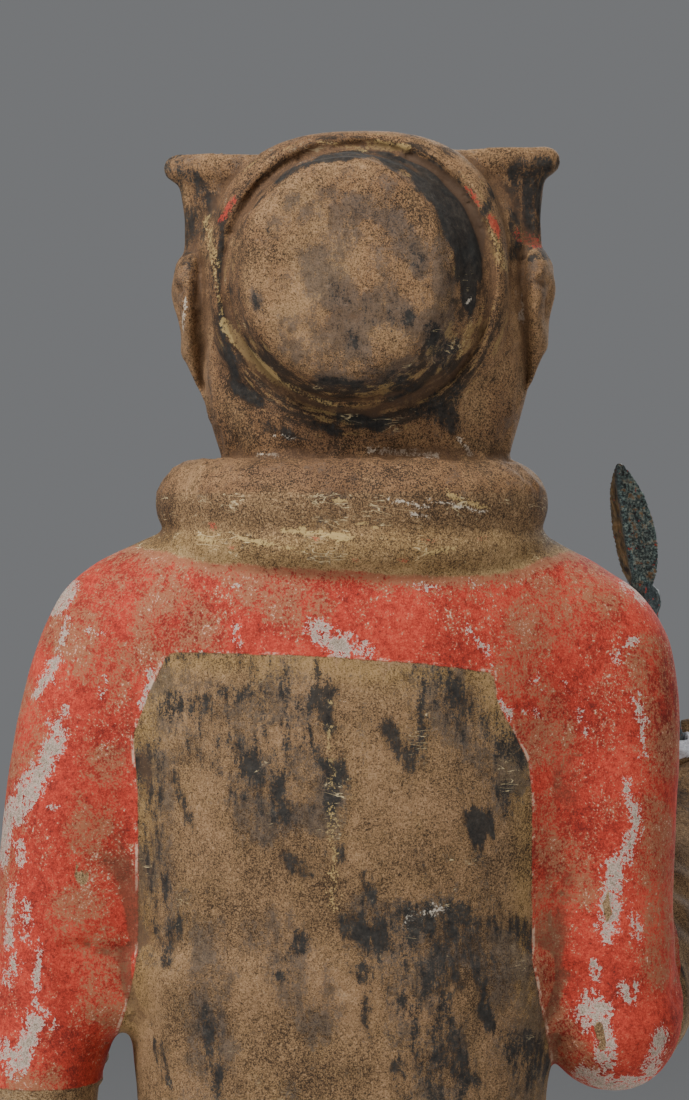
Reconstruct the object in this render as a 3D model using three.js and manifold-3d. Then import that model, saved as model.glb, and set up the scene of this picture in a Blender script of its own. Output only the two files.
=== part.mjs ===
// A painted fired-clay tomb warrior, 600 mm tall, on a low base, with a bronze spearhead in its raised fist.
// Millimetres, +Z up. The figure faces -Y and its own right hand is on -X. The origin is the centre of the
// base's underside. The clay figure is one fired piece; the spearhead and the packing round it are loose.
import * as THREE from "three";
import { mergeVertices } from "three/addons/utils/BufferGeometryUtils.js";
import Module from "manifold-3d";

const { PI, sin, cos, acos, atan2, abs, min, max, sqrt, exp, hypot, round } = Math;
const wasm = await Module();
wasm.setup();

// ---- Driving dimensions -------------------------------------------------------------------------------
const BASE = { width: 166, depth: 128, height: 14, corner: 10, bevel: 1.5 };
const HEM = 181; // height of the outer robe's lower edge
const WAIST = 345; // height of the belt
const ARMPIT = 376; // height where the arms part from the flanks
const HEAD = { x: -3.4, y: 2, z: 556, turn: -3.8, roll: 1 }; // midway between the ears; degrees
const LEG_SPREAD = 27; // from the middle to each ankle
const FIST_MOUTH = new THREE.Vector3(-84.8, -79, 440); // top of the hole through the right fist
const SPEAR_AXIS = new THREE.Vector3(0.18, 0.272, 0.945).normalize();
const GRIP_HOLE = 5.6; // radius of the hole through the right fist
const PACKING_WIDTH = 7.4; // radius of the packing where it bulges out of the hole
const GAP = 0.3; // between pieces that touch

// Outline of the lower robe, from under the hem up to the armpits: height, half width, depth behind and in
// front of the axis, and how far the middle lies to the side.
const LOWER_ROBE = [
  [189, 0, 0, 0, 1],
  [175, 65, 44, 47, 1],
  [176.5, 69.5, 47.5, 51, 1],
  [HEM - 1, 70, 48, 51.5, 1],
  [HEM, 72.5, 50, 54, 1],
  [HEM + 2, 74.5, 51.5, 55.5, 1],
  [198, 73, 50, 54, 1],
  [225, 68.5, 47, 50.5, 1.2],
  [252, 64, 44.4, 47.4, 1.5],
  [285, 59, 41, 44, 1.8],
  [WAIST - 5, 51.2, 36.2, 38.7, 2.4],
  [WAIST - 4, 52.8, 37.8, 40.3, 2.4],
  [WAIST + 4, 52.8, 37.8, 40.3, 2.4],
  [WAIST + 5, 51.2, 36.2, 38.7, 2.3],
  [360, 51.2, 36.4, 38.5, 2.2],
  [ARMPIT, 53, 37.5, 38.8, 1.6],
];

// Outline of chest, back and upper arms as one form, up to the collar: height, half width of the trunk,
// depth behind and in front, reach of the left and right arm from the axis, half width and half depth of an
// arm, and the radius of the hollow between arm and trunk.
const UPPER_BODY = [
  [ARMPIT, 53, 37.5, 38.8, 89, 82.2, 16.4, 18.5, 7],
  [392, 54, 38.5, 39, 88, 82.6, 17, 19.5, 10],
  [410, 55, 39.5, 39.5, 87.3, 82, 17.5, 20, 12],
  [430, 56.5, 41, 40, 85.8, 82.4, 17.8, 20.5, 15],
  [448, 57, 41.5, 39.5, 83.4, 82.6, 17.8, 20, 18],
  [462, 57, 41.5, 38.5, 81, 81.6, 17.5, 19, 20],
  [474, 56, 41, 37, 77.2, 78.8, 17, 17.5, 22],
  [484, 53, 39.8, 35, 71.8, 72, 16, 15, 22],
  [491, 50, 38, 32.5, 64, 61, 15, 11.5, 20],
  [496, 46, 35.5, 30, 54, 51, 12, 8, 16],
  [500, 40, 31, 27, 44, 43, 10, 6, 12],
  [508, 25, 20, 18, 25, 25, 5, 5, 5],
  [509, 0, 0, 0, 0, 0, 0, 0, 1],
];

// ---- Shared geometry ----------------------------------------------------------------------------------
const clamp = (v, low, high) => min(max(v, low), high);
const radians = (degrees) => (degrees * PI) / 180;
const bell = (x, z, wide, tall) => exp(-((x / wide) ** 2) - (z / tall) ** 2);

// The row of values at share s of the way through the rows, on smooth curves through them all.
function along(rows, s) {
  const last = rows.length - 1;
  const i = min(Math.floor(clamp(s, 0, 1) * last), last - 1);
  const u = clamp(s, 0, 1) * last - i;
  const at = (k, c) => rows[clamp(k, 0, last)][c];
  return rows[0].map((_, c) => {
    const [p, q] = [at(i, c), at(i + 1, c)];
    const [m, n] = [(q - at(i - 1, c)) / 2, (at(i + 2, c) - p) / 2];
    return p + u * (m + u * (3 * (q - p) - 2 * m - n + u * (2 * (p - q) + m + n)));
  });
}

function solid(geometry) {
  const bare = geometry.clone();
  bare.deleteAttribute("normal");
  bare.deleteAttribute("uv");
  const merged = mergeVertices(bare, 1e-4);
  return new wasm.Manifold(
    new wasm.Mesh({
      numProp: 3,
      vertProperties: merged.attributes.position.array,
      triVerts: Uint32Array.from(merged.index.array),
    }),
  );
}

// A closed skin: each point of a sphere, as its turn round Z and its ring counted from the bottom pole, is
// put where place(turn, ring) says.
function skin(segments, rings, place, matrix = null) {
  const geometry = new THREE.SphereGeometry(1, segments, rings);
  const points = geometry.attributes.position;
  for (let i = 0; i < points.count; i++) {
    const ring = rings - round((acos(clamp(points.getY(i), -1, 1)) / PI) * rings);
    const step = round((atan2(-points.getZ(i), points.getX(i)) / (2 * PI)) * segments + segments);
    points.setXYZ(i, ...place((2 * PI * (step % segments)) / segments, ring));
  }
  return solid(matrix ? geometry.applyMatrix4(matrix) : geometry);
}

// A closed ring: each point of a torus, as its turn round Z and its turn round the section, is put where
// place(turn, section) says.
function hoop(segments, sides, place) {
  const geometry = new THREE.TorusGeometry(2, 1, sides, segments);
  const points = geometry.attributes.position;
  for (let i = 0; i < points.count; i++) {
    const [x, y, z] = [points.getX(i), points.getY(i), points.getZ(i)];
    const step = round((atan2(y, x) / (2 * PI)) * segments + segments) % segments;
    const side = round((atan2(z, hypot(x, y) - 2) / (2 * PI)) * sides + sides) % sides;
    points.setXYZ(i, ...place((2 * PI * step) / segments, (2 * PI * side) / sides));
  }
  return solid(geometry);
}

// A limb with domed ends along a path of rows: x, y, z, half width towards `side`, half width across it. It
// has `steps` rings of faces between its domes, and `dome` rings in each of them.
function limb(segments, steps, rows, side, dome = 2) {
  const point = (s) => new THREE.Vector3(...along(rows, s).slice(0, 3));
  return skin(segments, steps + 2 * dome, (turn, ring) => {
    const s = clamp((ring - dome) / steps, 0, 1);
    const [x, y, z, wide, deep] = along(rows, s);
    const ahead = point(min(s + 0.02, 1)).sub(point(max(s - 0.02, 0))).normalize();
    const across = side.clone().addScaledVector(ahead, -side.dot(ahead)).normalize();
    const over = ahead.clone().cross(across);
    const end = min(ring - dome, 0) + max(ring - dome - steps, 0);
    const bend = (end / dome) * (PI / 2);
    return new THREE.Vector3(x, y, z)
      .addScaledVector(ahead, sin(bend) * min(wide, deep))
      .addScaledVector(across, cos(bend) * wide * cos(turn))
      .addScaledVector(over, cos(bend) * deep * sin(turn))
      .toArray();
  });
}

// A turned form made along Y, stood up along Z.
const upright = (geometry) => geometry.applyMatrix4(new THREE.Matrix4().makeRotationX(PI / 2));

const united = (solids) => solids.reduce((all, next) => all.add(next));

// ---- Robe, chest and shoulders ------------------------------------------------------------------------
// A rounded rectangle's reach in a direction; `square` is 2 for an ellipse and more for a boxier outline.
function boxyReach(turn, wide, deep, square) {
  return 1 / (abs(cos(turn) / wide) ** square + abs(sin(turn) / deep) ** square) ** (1 / square);
}

// Distance from an ellipse's edge, negative inside it.
const ellipseGap = (x, y, wide, deep) => (hypot(x / wide, y / deep) - 1) * min(wide, deep);

// The joined distance of two forms whose inner corner is filled to radius r.
function melted(p, q, r) {
  const h = max(r - abs(p - q), 0) / r;
  return min(p, q) - (h * h * r) / 4;
}

// Soft pleats that deepen towards the hem, and the edge of the outer lapel, folded over to the right.
function drape(turn, z) {
  const fall = clamp((WAIST - 15 - z) / (WAIST - 15 - HEM), 0, 1) ** 1.3;
  const pleats = 1.5 * cos(7 * turn + 0.8) + 1.1 * cos(11 * turn - 0.6);
  const edge = -PI / 2 - 0.25 - (0.35 * (WAIST - z)) / (WAIST - HEM);
  const past = turn > PI ? turn - 2 * PI - edge : turn - edge;
  const lapel = z < WAIST ? 1.6 * clamp(past / 0.1, 0, 1) * clamp((2.4 - past) / 2, 0, 1) : 0;
  return fall * pleats + lapel * clamp((WAIST - z) / 20, 0, 1);
}

function robeReach(turn, row) {
  const [z, wide, back, front] = row;
  return boxyReach(turn, wide, sin(turn) > 0 ? back : front, 2.35) + (z < WAIST ? drape(turn, z) : 0);
}

function shoulderReach(turn, row) {
  const [, wide, back, front, left, right, armWide, armDeep, hollow] = row;
  const gapAt = (r) => {
    const [x, y] = [r * cos(turn), r * sin(turn)];
    const trunk = r - boxyReach(turn, wide, y > 0 ? back : front, 2.35);
    const arms = min(
      ellipseGap(x - (left - armWide), y - 1, armWide, armDeep),
      ellipseGap(x + (right - armWide), y - 1, armWide, armDeep),
    );
    return melted(trunk, arms, hollow);
  };
  let outside = 110;
  while (outside > 1 && gapAt(outside) > 0) outside -= 1;
  let inside = outside;
  outside += 1;
  for (let i = 0; i < 12; i++) {
    const middle = (inside + outside) / 2;
    if (gapAt(middle) > 0) outside = middle;
    else inside = middle;
  }
  return inside;
}

// The ray for a turn, moved so that rays 0 to 3 from either side meet the arm and the next just clears it.
function armRay(turn, row) {
  const [, , , , left, right, armWide, armDeep] = row;
  const onRight = cos(turn) < 0;
  const away = onRight ? PI - turn : turn > PI ? turn - 2 * PI : turn;
  const share = abs(away) / (PI / 2);
  const arm = atan2(armDeep, (onRight ? right : left) - armWide + 1e-6);
  const clear = arm + radians(3);
  const moved = share < 0.35 ? (share / 0.3) * arm * 0.94 : clear + ((share - 0.4) / 0.6) * (PI / 2 - clear);
  const ray = onRight ? PI - Math.sign(away) * moved : Math.sign(away) * moved;
  return ray < 0 ? ray + 2 * PI : ray;
}

function makeTrunk() {
  const lower = LOWER_ROBE.length - 1;
  const upper = 12;
  return skin(40, lower + upper + 1, (turn, ring) => {
    const below = ring <= lower;
    const row = below ? along(LOWER_ROBE, ring / lower) : along(UPPER_BODY, (ring - lower - 1) / upper);
    const pole = ring === 0 || ring > lower + upper;
    const joint = below ? UPPER_BODY[0] : row;
    const gathered = clamp((row[0] - 225) / (WAIST - 230), 0, 1); // an even fan of rays at the hem
    const ray = pole ? turn : turn + gathered * (armRay(turn, joint) - turn);
    const reach = pole ? 0 : below ? robeReach(ray, row) : shoulderReach(ray, row);
    const shift = below ? row[4] : LOWER_ROBE.at(-1)[4] * clamp((470 - row[0]) / 94, 0, 1);
    const lip = below ? 0 : 0.2; // the first ring of the upper body starts just above the last of the robe
    return [shift + reach * cos(ray), reach * sin(ray), row[0] + lip];
  });
}

// The hook that closes the belt.
function makeBeltHook() {
  const rows = [
    [-9, -39.6, WAIST, 2.6, 3],
    [2, -40.6, WAIST, 2.8, 3.6],
    [13, -39.6, WAIST + 0.5, 2.6, 2.2],
  ];
  return limb(6, 4, rows, new THREE.Vector3(0, 1, 0));
}

// ---- Collar -------------------------------------------------------------------------------------------
function makeCollar() {
  const roll = hoop(24, 8, (turn, section) => {
    const ahead = max(-sin(turn), 0);
    const reach = boxyReach(turn, 37.8, sin(turn) > 0 ? 31 : 33, 2.2) + 11 * cos(section);
    const height = 507.3 - 8 * ahead ** 2 + 11.3 * sin(section) * (1 - 0.12 * ahead);
    return [-0.7 + reach * cos(turn), 1 + reach * sin(turn), height];
  });
  const over = [
    [29, -29, 502, 9, 4.5],
    [12, -37, 492, 10, 5],
    [-6, -42.5, 479, 9.5, 4.5],
    [-15, -41, 466, 7.5, 2.5],
  ];
  const under = [
    [-29, -29, 502, 9, 4.5],
    [-14, -36, 492, 9.5, 4.5],
    [2, -40, 480, 8, 3.5],
  ];
  const side = new THREE.Vector3(-0.6, 0, 0.8);
  const otherSide = new THREE.Vector3(0.6, 0, 0.8);
  return united([roll, limb(8, 5, over, side), limb(8, 4, under, otherSide)]);
}

// ---- Arms and fists -----------------------------------------------------------------------------------
const RIGHT_UPPER_ARM = [
  [-64.8, 1, 398, 12, 14],
  [-65, 1.5, 386, 13.6, 15.6],
  [-65.4, 2, 377, 17.2, 18.6],
];
const RIGHT_FOREARM = [
  [-66, 3, 377.5, 16.2, 17.6],
  [-71, -18, 385.5, 17, 20],
  [-76.5, -40, 398, 16.5, 19.5],
  [-81.5, -59, 413, 14.5, 16],
  [-84.5, -69, 421.5, 12.6, 13],
];
const LEFT_UPPER_ARM = [
  [72, 1, 392, 13, 15],
  [73.9, 1, 378, 16, 18.1],
  [76.4, 1.5, 364.5, 15.6, 18.4],
  [76.8, 2, 359, 15, 17.6],
  [78.6, 4, 349, 15.6, 17.4],
];
const LEFT_FOREARM = [
  [78.6, 4, 349, 15, 16],
  [79, -16, 348.5, 15.2, 17],
  [79, -38, 350, 14.4, 16],
  [78.4, -57, 353, 12.4, 13.2],
];

// A fist closed round a grip, in its own frame: the grip along Z, the knuckles ahead on -Y, the wrist behind
// and the back of the hand towards `outer`. Its fingers are four rounded ridges turned round the grip.
function makeFist(outer, hollow, thumb) {
  const [fingers, pitch, palm] = [4, 6.3, 8.6];
  const profile = [];
  const half = (fingers * pitch) / 2;
  for (let i = 0; i <= fingers * 3; i++) {
    const z = -half + (i * pitch) / 3;
    const ridge = abs(sin((PI * (z + half)) / pitch));
    const knuckle = i === 0 || i === fingers * 3 ? -1.4 : 0;
    profile.push(new THREE.Vector2(palm + 0.9 + 2.6 * sqrt(ridge) + knuckle, z));
  }
  const inner = hollow ? GRIP_HOLE + 0.6 : 0;
  profile.unshift(new THREE.Vector2(inner, -half));
  profile.push(new THREE.Vector2(inner, half));
  if (hollow) profile.push(new THREE.Vector2(inner, -half));
  const palmRows = [
    [outer * 2.5, 20, -1, 8.5, 9.5],
    [outer * 3, 11, -0.5, 9.5, 12],
    [outer * 4.5, 0, 0, 7.5, 12.3],
    [outer * 5, -5, 0, 5, 11],
  ];
  return united([
    solid(upright(new THREE.LatheGeometry(profile, 10))),
    limb(8, 3, palmRows, new THREE.Vector3(1, 0, 0)),
    limb(6, 3, thumb, new THREE.Vector3(1, 0, 0)),
  ]);
}

function placed(form, position, grip, ahead) {
  const z = grip.clone().normalize();
  const y = ahead.clone().addScaledVector(z, -ahead.dot(z)).normalize().negate();
  const x = y.clone().cross(z);
  const m = new THREE.Matrix4().makeBasis(x, y, z).setPosition(position);
  return form.transform(m.elements);
}

function makeRightArm() {
  const side = new THREE.Vector3(1, 0, 0);
  const thumb = [
    [3, 6, 8, 4.5, 4.5],
    [1, -6, 12, 5, 4.8],
    [-3.5, -10.8, 14.5, 5, 4.6],
    [-6, -11.2, 15.5, 4.2, 4],
  ];
  const ahead = new THREE.Vector3(-0.12, -0.82, 0.5);
  const centre = FIST_MOUTH.clone().addScaledVector(SPEAR_AXIS, -12.6);
  const fist = placed(makeFist(-1, true, thumb), centre, SPEAR_AXIS, ahead);
  return united([
    limb(12, 2, RIGHT_UPPER_ARM, side, 3),
    limb(12, 6, RIGHT_FOREARM, side),
    fist,
  ]);
}

function makeLeftArm() {
  const side = new THREE.Vector3(1, 0, 0);
  const thumb = [
    [-5, 7, 9, 4.6, 4.6],
    [-9.5, -2, 11, 4.6, 4.4],
    [-8.5, -9, 10.5, 4, 4],
  ];
  const grip = new THREE.Vector3(-0.25, -0.2, 0.95);
  const ahead = new THREE.Vector3(-0.15, -1, 0.1);
  const fist = placed(makeFist(1, false, thumb), new THREE.Vector3(77.6, -73, 355.5), grip, ahead);
  return united([limb(12, 4, LEFT_UPPER_ARM, side, 3), limb(12, 5, LEFT_FOREARM, side), fist]);
}

// The hole through the right fist, widened at its mouth where the packing is pressed in.
function gripHole() {
  const profile = [
    [0, -40], [GRIP_HOLE, -40], [GRIP_HOLE, 0], [PACKING_WIDTH + GAP, 2], [PACKING_WIDTH + GAP, 16], [0, 16],
  ].map(([r, z]) => new THREE.Vector2(r, z));
  return alongGrip(solid(upright(new THREE.LatheGeometry(profile, 8))));
}

// ---- Legs, boots and base -----------------------------------------------------------------------------
function makeLeg(way) {
  const x = way * LEG_SPREAD;
  const leg = [
    [x * 0.98, 2, 200, 22, 23],
    [x * 0.98, 2, 165, 21.6, 22.8],
    [x, 3, 132, 20.5, 22],
    [x, 4, 100, 18.8, 20.4],
    [x, 5, 72, 17.6, 19],
    [x, 5.5, 61, 15, 16.6],
    [x, 6, 46, 13.6, 15.6],
    [x, 6, 30, 14, 16],
  ];
  const boot = [
    [x, 20, BASE.height + 11, 14, 13],
    [x, 8, BASE.height + 14, 15, 17],
    [x + way * 1.5, -8, BASE.height + 12, 15.5, 15],
    [x + way * 3.5, -26, BASE.height + 8.5, 16.5, 11.5],
    [x + way * 4.5, -40, BASE.height + 7.5, 14.5, 9.5],
  ];
  const side = new THREE.Vector3(1, 0, 0);
  return united([limb(10, 7, leg, side), limb(10, 5, boot, side)]);
}

function makeBase() {
  const [x, y, r] = [BASE.width / 2 - BASE.bevel, BASE.depth / 2 - BASE.bevel, BASE.corner];
  const outline = new THREE.Shape();
  outline.absarc(x - r, y - r, r, 0, PI / 2);
  outline.absarc(-x + r, y - r, r, PI / 2, PI);
  outline.absarc(-x + r, -y + r, r, PI, 1.5 * PI);
  outline.absarc(x - r, -y + r, r, 1.5 * PI, 2 * PI);
  outline.closePath();
  const slab = new THREE.ExtrudeGeometry(outline, {
    depth: BASE.height - 2 * BASE.bevel,
    bevelThickness: BASE.bevel,
    bevelSize: BASE.bevel,
    bevelSegments: 1,
    curveSegments: 2,
  });
  return solid(slab.translate(0, 0, BASE.bevel));
}

// ---- Head and cap, in the head's own frame: midway between the ears, face on -Y -----------------------
const headMatrix = new THREE.Matrix4()
  .makeTranslation(HEAD.x, HEAD.y, HEAD.z)
  .multiply(new THREE.Matrix4().makeRotationZ(radians(HEAD.turn)))
  .multiply(new THREE.Matrix4().makeRotationY(radians(HEAD.roll)));

// Neck, jaw and skull: height, half width, depth behind and in front.
const SKULL = [
  [-62, 0, 0, 0],
  [-60, 29, 22, 25],
  [-47, 32.5, 24, 27],
  [-42.5, 34.6, 25, 33.5],
  [-36, 36.4, 26, 38.2],
  [-29, 38.4, 27, 40.2],
  [-21, 40.6, 27, 41.2],
  [-12, 41.8, 26, 41.8],
  [-3, 42.3, 24, 42],
  [6, 42.4, 22, 42.2],
  [14, 42, 20, 41.8],
  [26, 38, 16, 38],
  [34, 28, 10, 28],
  [37, 0, 0, 0],
];

// How far the broad forms of a calm, even face stand out of the skull, from their place across and up it.
function faceRelief(across, z) {
  const x = abs(across);
  return (
    1.8 * bell(x, z - 9, 24, 3.5) -
    3.4 * bell(x - 15.5, z + 0.5, 9, 6) +
    1.8 * bell(x - 22, z + 14, 10, 9) +
    2 * bell(x, z + 28, 14, 8) +
    3 * bell(x, z + 39, 10, 5)
  );
}

// Brows, lidded eyes, nose and lips, each a small rounded form sunk in the skull.
function makeFeatures() {
  const side = new THREE.Vector3(1, 0, 0);
  const upward = new THREE.Vector3(0, 0, 1);
  const nose = [
    [0, -40.5, 8, 2.6, 2.6],
    [0, -42.5, 0, 2.9, 3.4],
    [0, -44.8, -8, 3.6, 4.2],
    [0, -46.4, -14, 4.6, 4.4],
  ];
  const lip = (z, out, wide, thick) => [
    [-wide, -40.2, z - 0.6, thick * 0.5, thick * 0.5],
    [-wide * 0.45, -42.6 - out, z + 0.1, thick, thick],
    [wide * 0.45, -42.6 - out, z + 0.1, thick, thick],
    [wide, -40.2, z - 0.6, thick * 0.5, thick * 0.5],
  ];
  const forms = [
    limb(8, 3, nose, side),
    limb(6, 4, lip(-26, 0.4, 9, 1.7), upward),
    limb(6, 4, lip(-30.4, 0, 7.6, 2), upward),
  ];
  for (const way of [1, -1]) {
    const eye = new THREE.SphereGeometry(1, 10, 5).scale(7.8, 3.4, 3.1).rotateZ(way * 0.34);
    const wing = new THREE.SphereGeometry(3.1, 6, 4).translate(way * 4.6, -44, -15.2);
    const brow = [
      [way * 5.5, -40.6, 7.6, 1.4, 2],
      [way * 15, -39, 9.6, 1.5, 2.2],
      [way * 26, -32.2, 7, 1.1, 1.6],
    ];
    forms.push(
      solid(eye.translate(way * 15.6, -36.2, -0.8)),
      solid(wing),
      limb(6, 4, brow, upward),
    );
  }
  return united(forms).transform(headMatrix.elements);
}

function makeSkull() {
  const rings = 19;
  return skin(
    28,
    rings,
    (even, ring) => {
      const turn = even - 0.42 * cos(even); // closer together round the face
      const [z, wide, back, front] = along(SKULL, ring / rings);
      const square = 2.25 - 0.5 * clamp((-14 - z) / 26, 0, 1) * clamp(-sin(turn) * 3, 0, 1);
      const reach = ring % rings === 0 ? 0 : boxyReach(turn, wide, sin(turn) > 0 ? back : front, square);
      const [x, y] = [reach * cos(turn), reach * sin(turn)];
      const facing = clamp(-sin(turn) * 2.2 - 0.5, 0, 1);
      return [x, y - facing * faceRelief(x, z), z];
    },
    headMatrix,
  );
}

// The round crown of the cap with the ridge round its back edge and the flat-ended bulge that swells out of
// it: radius and distance behind the ears. The ridge's outline is a little squarer than a circle, and the
// bulge leans to the left, by a share of how far it stands out.
const CROWN_RISE = 5.6;
const CROWN_SQUARE = 2.6;
const BULGE_LEAN = 0.15;
const CROWN_PROFILE = [
  [0, -34], [18, -31.5], [29, -22], [35, -8], [36.8, 8], [36.8, 19], [35.2, 23.6], [33.4, 24],
  [32.2, 22.4], [31.2, 25], [29.6, 32], [27.6, 38.6], [24, 41.4], [13, 42.8], [0, 43.2],
];

function makeCrown() {
  const profile = CROWN_PROFILE.map(([r, back]) => new THREE.Vector2(r, back)).reverse();
  const crown = new THREE.LatheGeometry(profile, 22);
  const points = crown.attributes.position;
  for (let i = 0; i < points.count; i++) {
    const [x, back, z] = [points.getX(i), points.getY(i), -points.getZ(i)];
    const boxy = clamp((26 - back) / 8, 0, 1);
    const stretch = 1 + boxy * (boxyReach(atan2(z, x), 1, 1, CROWN_SQUARE) - 1);
    points.setXYZ(i, x * stretch + BULGE_LEAN * Math.max(back - 24, 0), back, z * stretch);
  }
  return solid(crown.translate(0, 0, CROWN_RISE).applyMatrix4(headMatrix));
}

// The turned-up brim: it hugs the brow and the temples, flares upwards and ends in a point over each ear.
const BRIM = [
  [0, 0, 0, 0],
  [0, 43.2, 9, 43.6],
  [0.12, 44.6, 10, 45.2],
  [0.4, 44.4, 10.5, 46.4],
  [0.65, 45.6, 11, 47.6],
  [0.85, 48, 11.5, 49],
  [0.96, 49.6, 11.5, 50],
  [1, 48.6, 10.5, 49],
  [0.97, 41, 7, 43],
  [0.9, 0, 0, 0],
];

function makeBrim() {
  const rings = 10;
  return skin(
    24,
    rings,
    (turn, ring) => {
      const [up, wide, back, front] = along(BRIM, ring / rings);
      const side = abs(cos(turn));
      const top = 29 + 9.6 * side ** 2.5;
      const foot = 14 - 6 * side ** 2;
      const behind = sin(turn) > 0;
      const pole = ring % rings === 0;
      const reach = pole ? 0 : boxyReach(turn, wide, behind ? back : front, behind ? 1.5 : 2.1);
      const flat = pole ? 29 : top;
      return [reach * cos(turn), 2 + reach * sin(turn), foot + up * (flat - foot)];
    },
    headMatrix,
  );
}

function makeEar(way) {
  const rows = [
    [way * 38.5, 3, -18.5, 3.6, 3.4],
    [way * 40.8, 3.5, -11, 4, 5.6],
    [way * 42, 4.5, -2, 4.6, 8],
    [way * 43, 4, 5, 4.8, 8.4],
    [way * 43, 2.5, 8.5, 4, 6.5],
  ];
  const side = new THREE.Vector3(1, way * 0.35, 0).normalize();
  return limb(8, 5, rows, side).transform(headMatrix.elements);
}

// ---- Spearhead and packing, along the grip's axis from its mouth --------------------------------------
const SPEAR = { mouth: 4.5, neck: 3.3, bore: 3.3, socket: 45, collar: 4.7, blade: 36.5, width: 7.4, rib: 2.7 };

function alongGrip(form, start = 0) {
  const position = FIST_MOUTH.clone().addScaledVector(SPEAR_AXIS, start);
  return placed(form, position, SPEAR_AXIS, new THREE.Vector3(-0.55, -0.83, 0));
}

function makeSpearhead() {
  const socketProfile = [
    [SPEAR.bore, 0], [SPEAR.mouth, 0], [SPEAR.mouth - 0.3, 12], [SPEAR.neck, SPEAR.socket - 6],
    [SPEAR.collar, SPEAR.socket - 3], [SPEAR.collar, SPEAR.socket], [SPEAR.neck, SPEAR.socket + 3],
    [0, SPEAR.socket + 9], [0, 24], [SPEAR.bore - 1.2, 22], [SPEAR.bore, 0],
  ].map(([r, z]) => new THREE.Vector2(r, z));
  const socket = upright(new THREE.LatheGeometry(socketProfile, 8));
  const rings = 9;
  const blade = skin(8, rings, (turn, ring) => {
    const s = ring / rings;
    const leaf = ring % rings === 0 ? 0 : sqrt(s) * (1 - s) ** 0.62 * 2.02;
    const edge = abs(cos(turn)) > 0.99 ? 1 : 0.5;
    return [
      SPEAR.width * leaf * cos(turn) * edge,
      SPEAR.rib * sqrt(leaf) * sin(turn) * (abs(sin(turn)) > 0.99 ? 1 : 0.55),
      SPEAR.socket + SPEAR.blade * s,
    ];
  });
  return alongGrip(solid(socket).add(blade), GAP + 0.5);
}

function makePacking() {
  const profile = [
    [0, -24], [3.2, -23.4], [GRIP_HOLE - GAP - 0.6, -20], [GRIP_HOLE - GAP, -16], [GRIP_HOLE - GAP, 0],
    [PACKING_WIDTH - 0.8, 1.6], [PACKING_WIDTH, 3], [PACKING_WIDTH - 0.3, 4.8], [6.2, 5.6],
    [SPEAR.mouth + GAP + 0.1, 4.2], [SPEAR.mouth + GAP, 0.5],
    [SPEAR.bore - GAP, 0.5], [SPEAR.bore - GAP - 0.6, 12], [0, 14],
  ].map(([r, z]) => new THREE.Vector2(r, z));
  return alongGrip(solid(upright(new THREE.LatheGeometry(profile, 8))));
}

// ---- The part -----------------------------------------------------------------------------------------
const PALETTE = {
  clay: new THREE.MeshStandardMaterial({ color: 0x8a6a4a, roughness: 0.92, metalness: 0 }),
  bronze: new THREE.MeshStandardMaterial({ color: 0x4f7068, roughness: 0.7, metalness: 0.4 }),
  packing: new THREE.MeshStandardMaterial({ color: 0xd9d6cf, roughness: 1, metalness: 0 }),
};

function named(name, form, material) {
  const made = form.getMesh();
  const geometry = new THREE.BufferGeometry();
  geometry.setAttribute("position", new THREE.BufferAttribute(Float32Array.from(made.vertProperties), 3));
  geometry.setIndex(new THREE.BufferAttribute(Uint32Array.from(made.triVerts), 1));
  geometry.computeVertexNormals();
  const mesh = new THREE.Mesh(geometry, material);
  mesh.name = name;
  return mesh;
}

const packing = makePacking();
const figure = united([
  makeTrunk(),
  makeBeltHook(),
  makeCollar(),
  makeRightArm(),
  makeLeftArm(),
  makeLeg(1),
  makeLeg(-1),
  makeBase(),
  makeSkull(),
  makeFeatures(),
  makeCrown(),
  makeBrim(),
  makeEar(1),
  makeEar(-1),
]).subtract(gripHole());

const part = new THREE.Group();
part.add(named("warrior", figure, PALETTE.clay));
part.add(named("bronze_spearhead", makeSpearhead(), PALETTE.bronze));
part.add(named("white_packing", packing, PALETTE.packing));

export default part;
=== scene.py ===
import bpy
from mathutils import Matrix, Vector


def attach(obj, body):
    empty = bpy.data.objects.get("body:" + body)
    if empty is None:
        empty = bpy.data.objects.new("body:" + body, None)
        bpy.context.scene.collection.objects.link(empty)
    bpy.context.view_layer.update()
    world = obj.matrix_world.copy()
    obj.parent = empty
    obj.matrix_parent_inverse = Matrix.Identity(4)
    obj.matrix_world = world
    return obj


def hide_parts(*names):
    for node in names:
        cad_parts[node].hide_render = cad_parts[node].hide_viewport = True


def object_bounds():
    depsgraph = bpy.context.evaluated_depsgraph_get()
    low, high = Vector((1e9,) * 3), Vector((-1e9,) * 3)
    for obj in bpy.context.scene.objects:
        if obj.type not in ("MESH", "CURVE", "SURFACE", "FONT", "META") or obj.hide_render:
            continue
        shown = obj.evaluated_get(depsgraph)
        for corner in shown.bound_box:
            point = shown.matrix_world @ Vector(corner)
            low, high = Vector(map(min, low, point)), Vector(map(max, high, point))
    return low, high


bl_info = {
    "name": "Painted Clay Warrior",
    "version": (1, 0, 0),
    "blender": (4, 5, 0),
    "location": "View3D > Sidebar > Warrior",
    "description": "Dresses the packed warrior with carved clay, worn paint, bronze and packing",
    "category": "Object",
}

import math

import bmesh
import bpy
import numpy as np
from bpy.props import FloatProperty, FloatVectorProperty, IntProperty, PointerProperty
from mathutils import Matrix, Vector

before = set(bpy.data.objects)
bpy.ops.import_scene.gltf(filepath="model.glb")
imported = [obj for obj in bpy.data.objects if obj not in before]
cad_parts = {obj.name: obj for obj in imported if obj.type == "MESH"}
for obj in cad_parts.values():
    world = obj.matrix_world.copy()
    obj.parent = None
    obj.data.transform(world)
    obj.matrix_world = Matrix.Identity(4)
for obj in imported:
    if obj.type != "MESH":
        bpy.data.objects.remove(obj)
CAD_BOX = [list(corner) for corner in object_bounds()]

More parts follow.
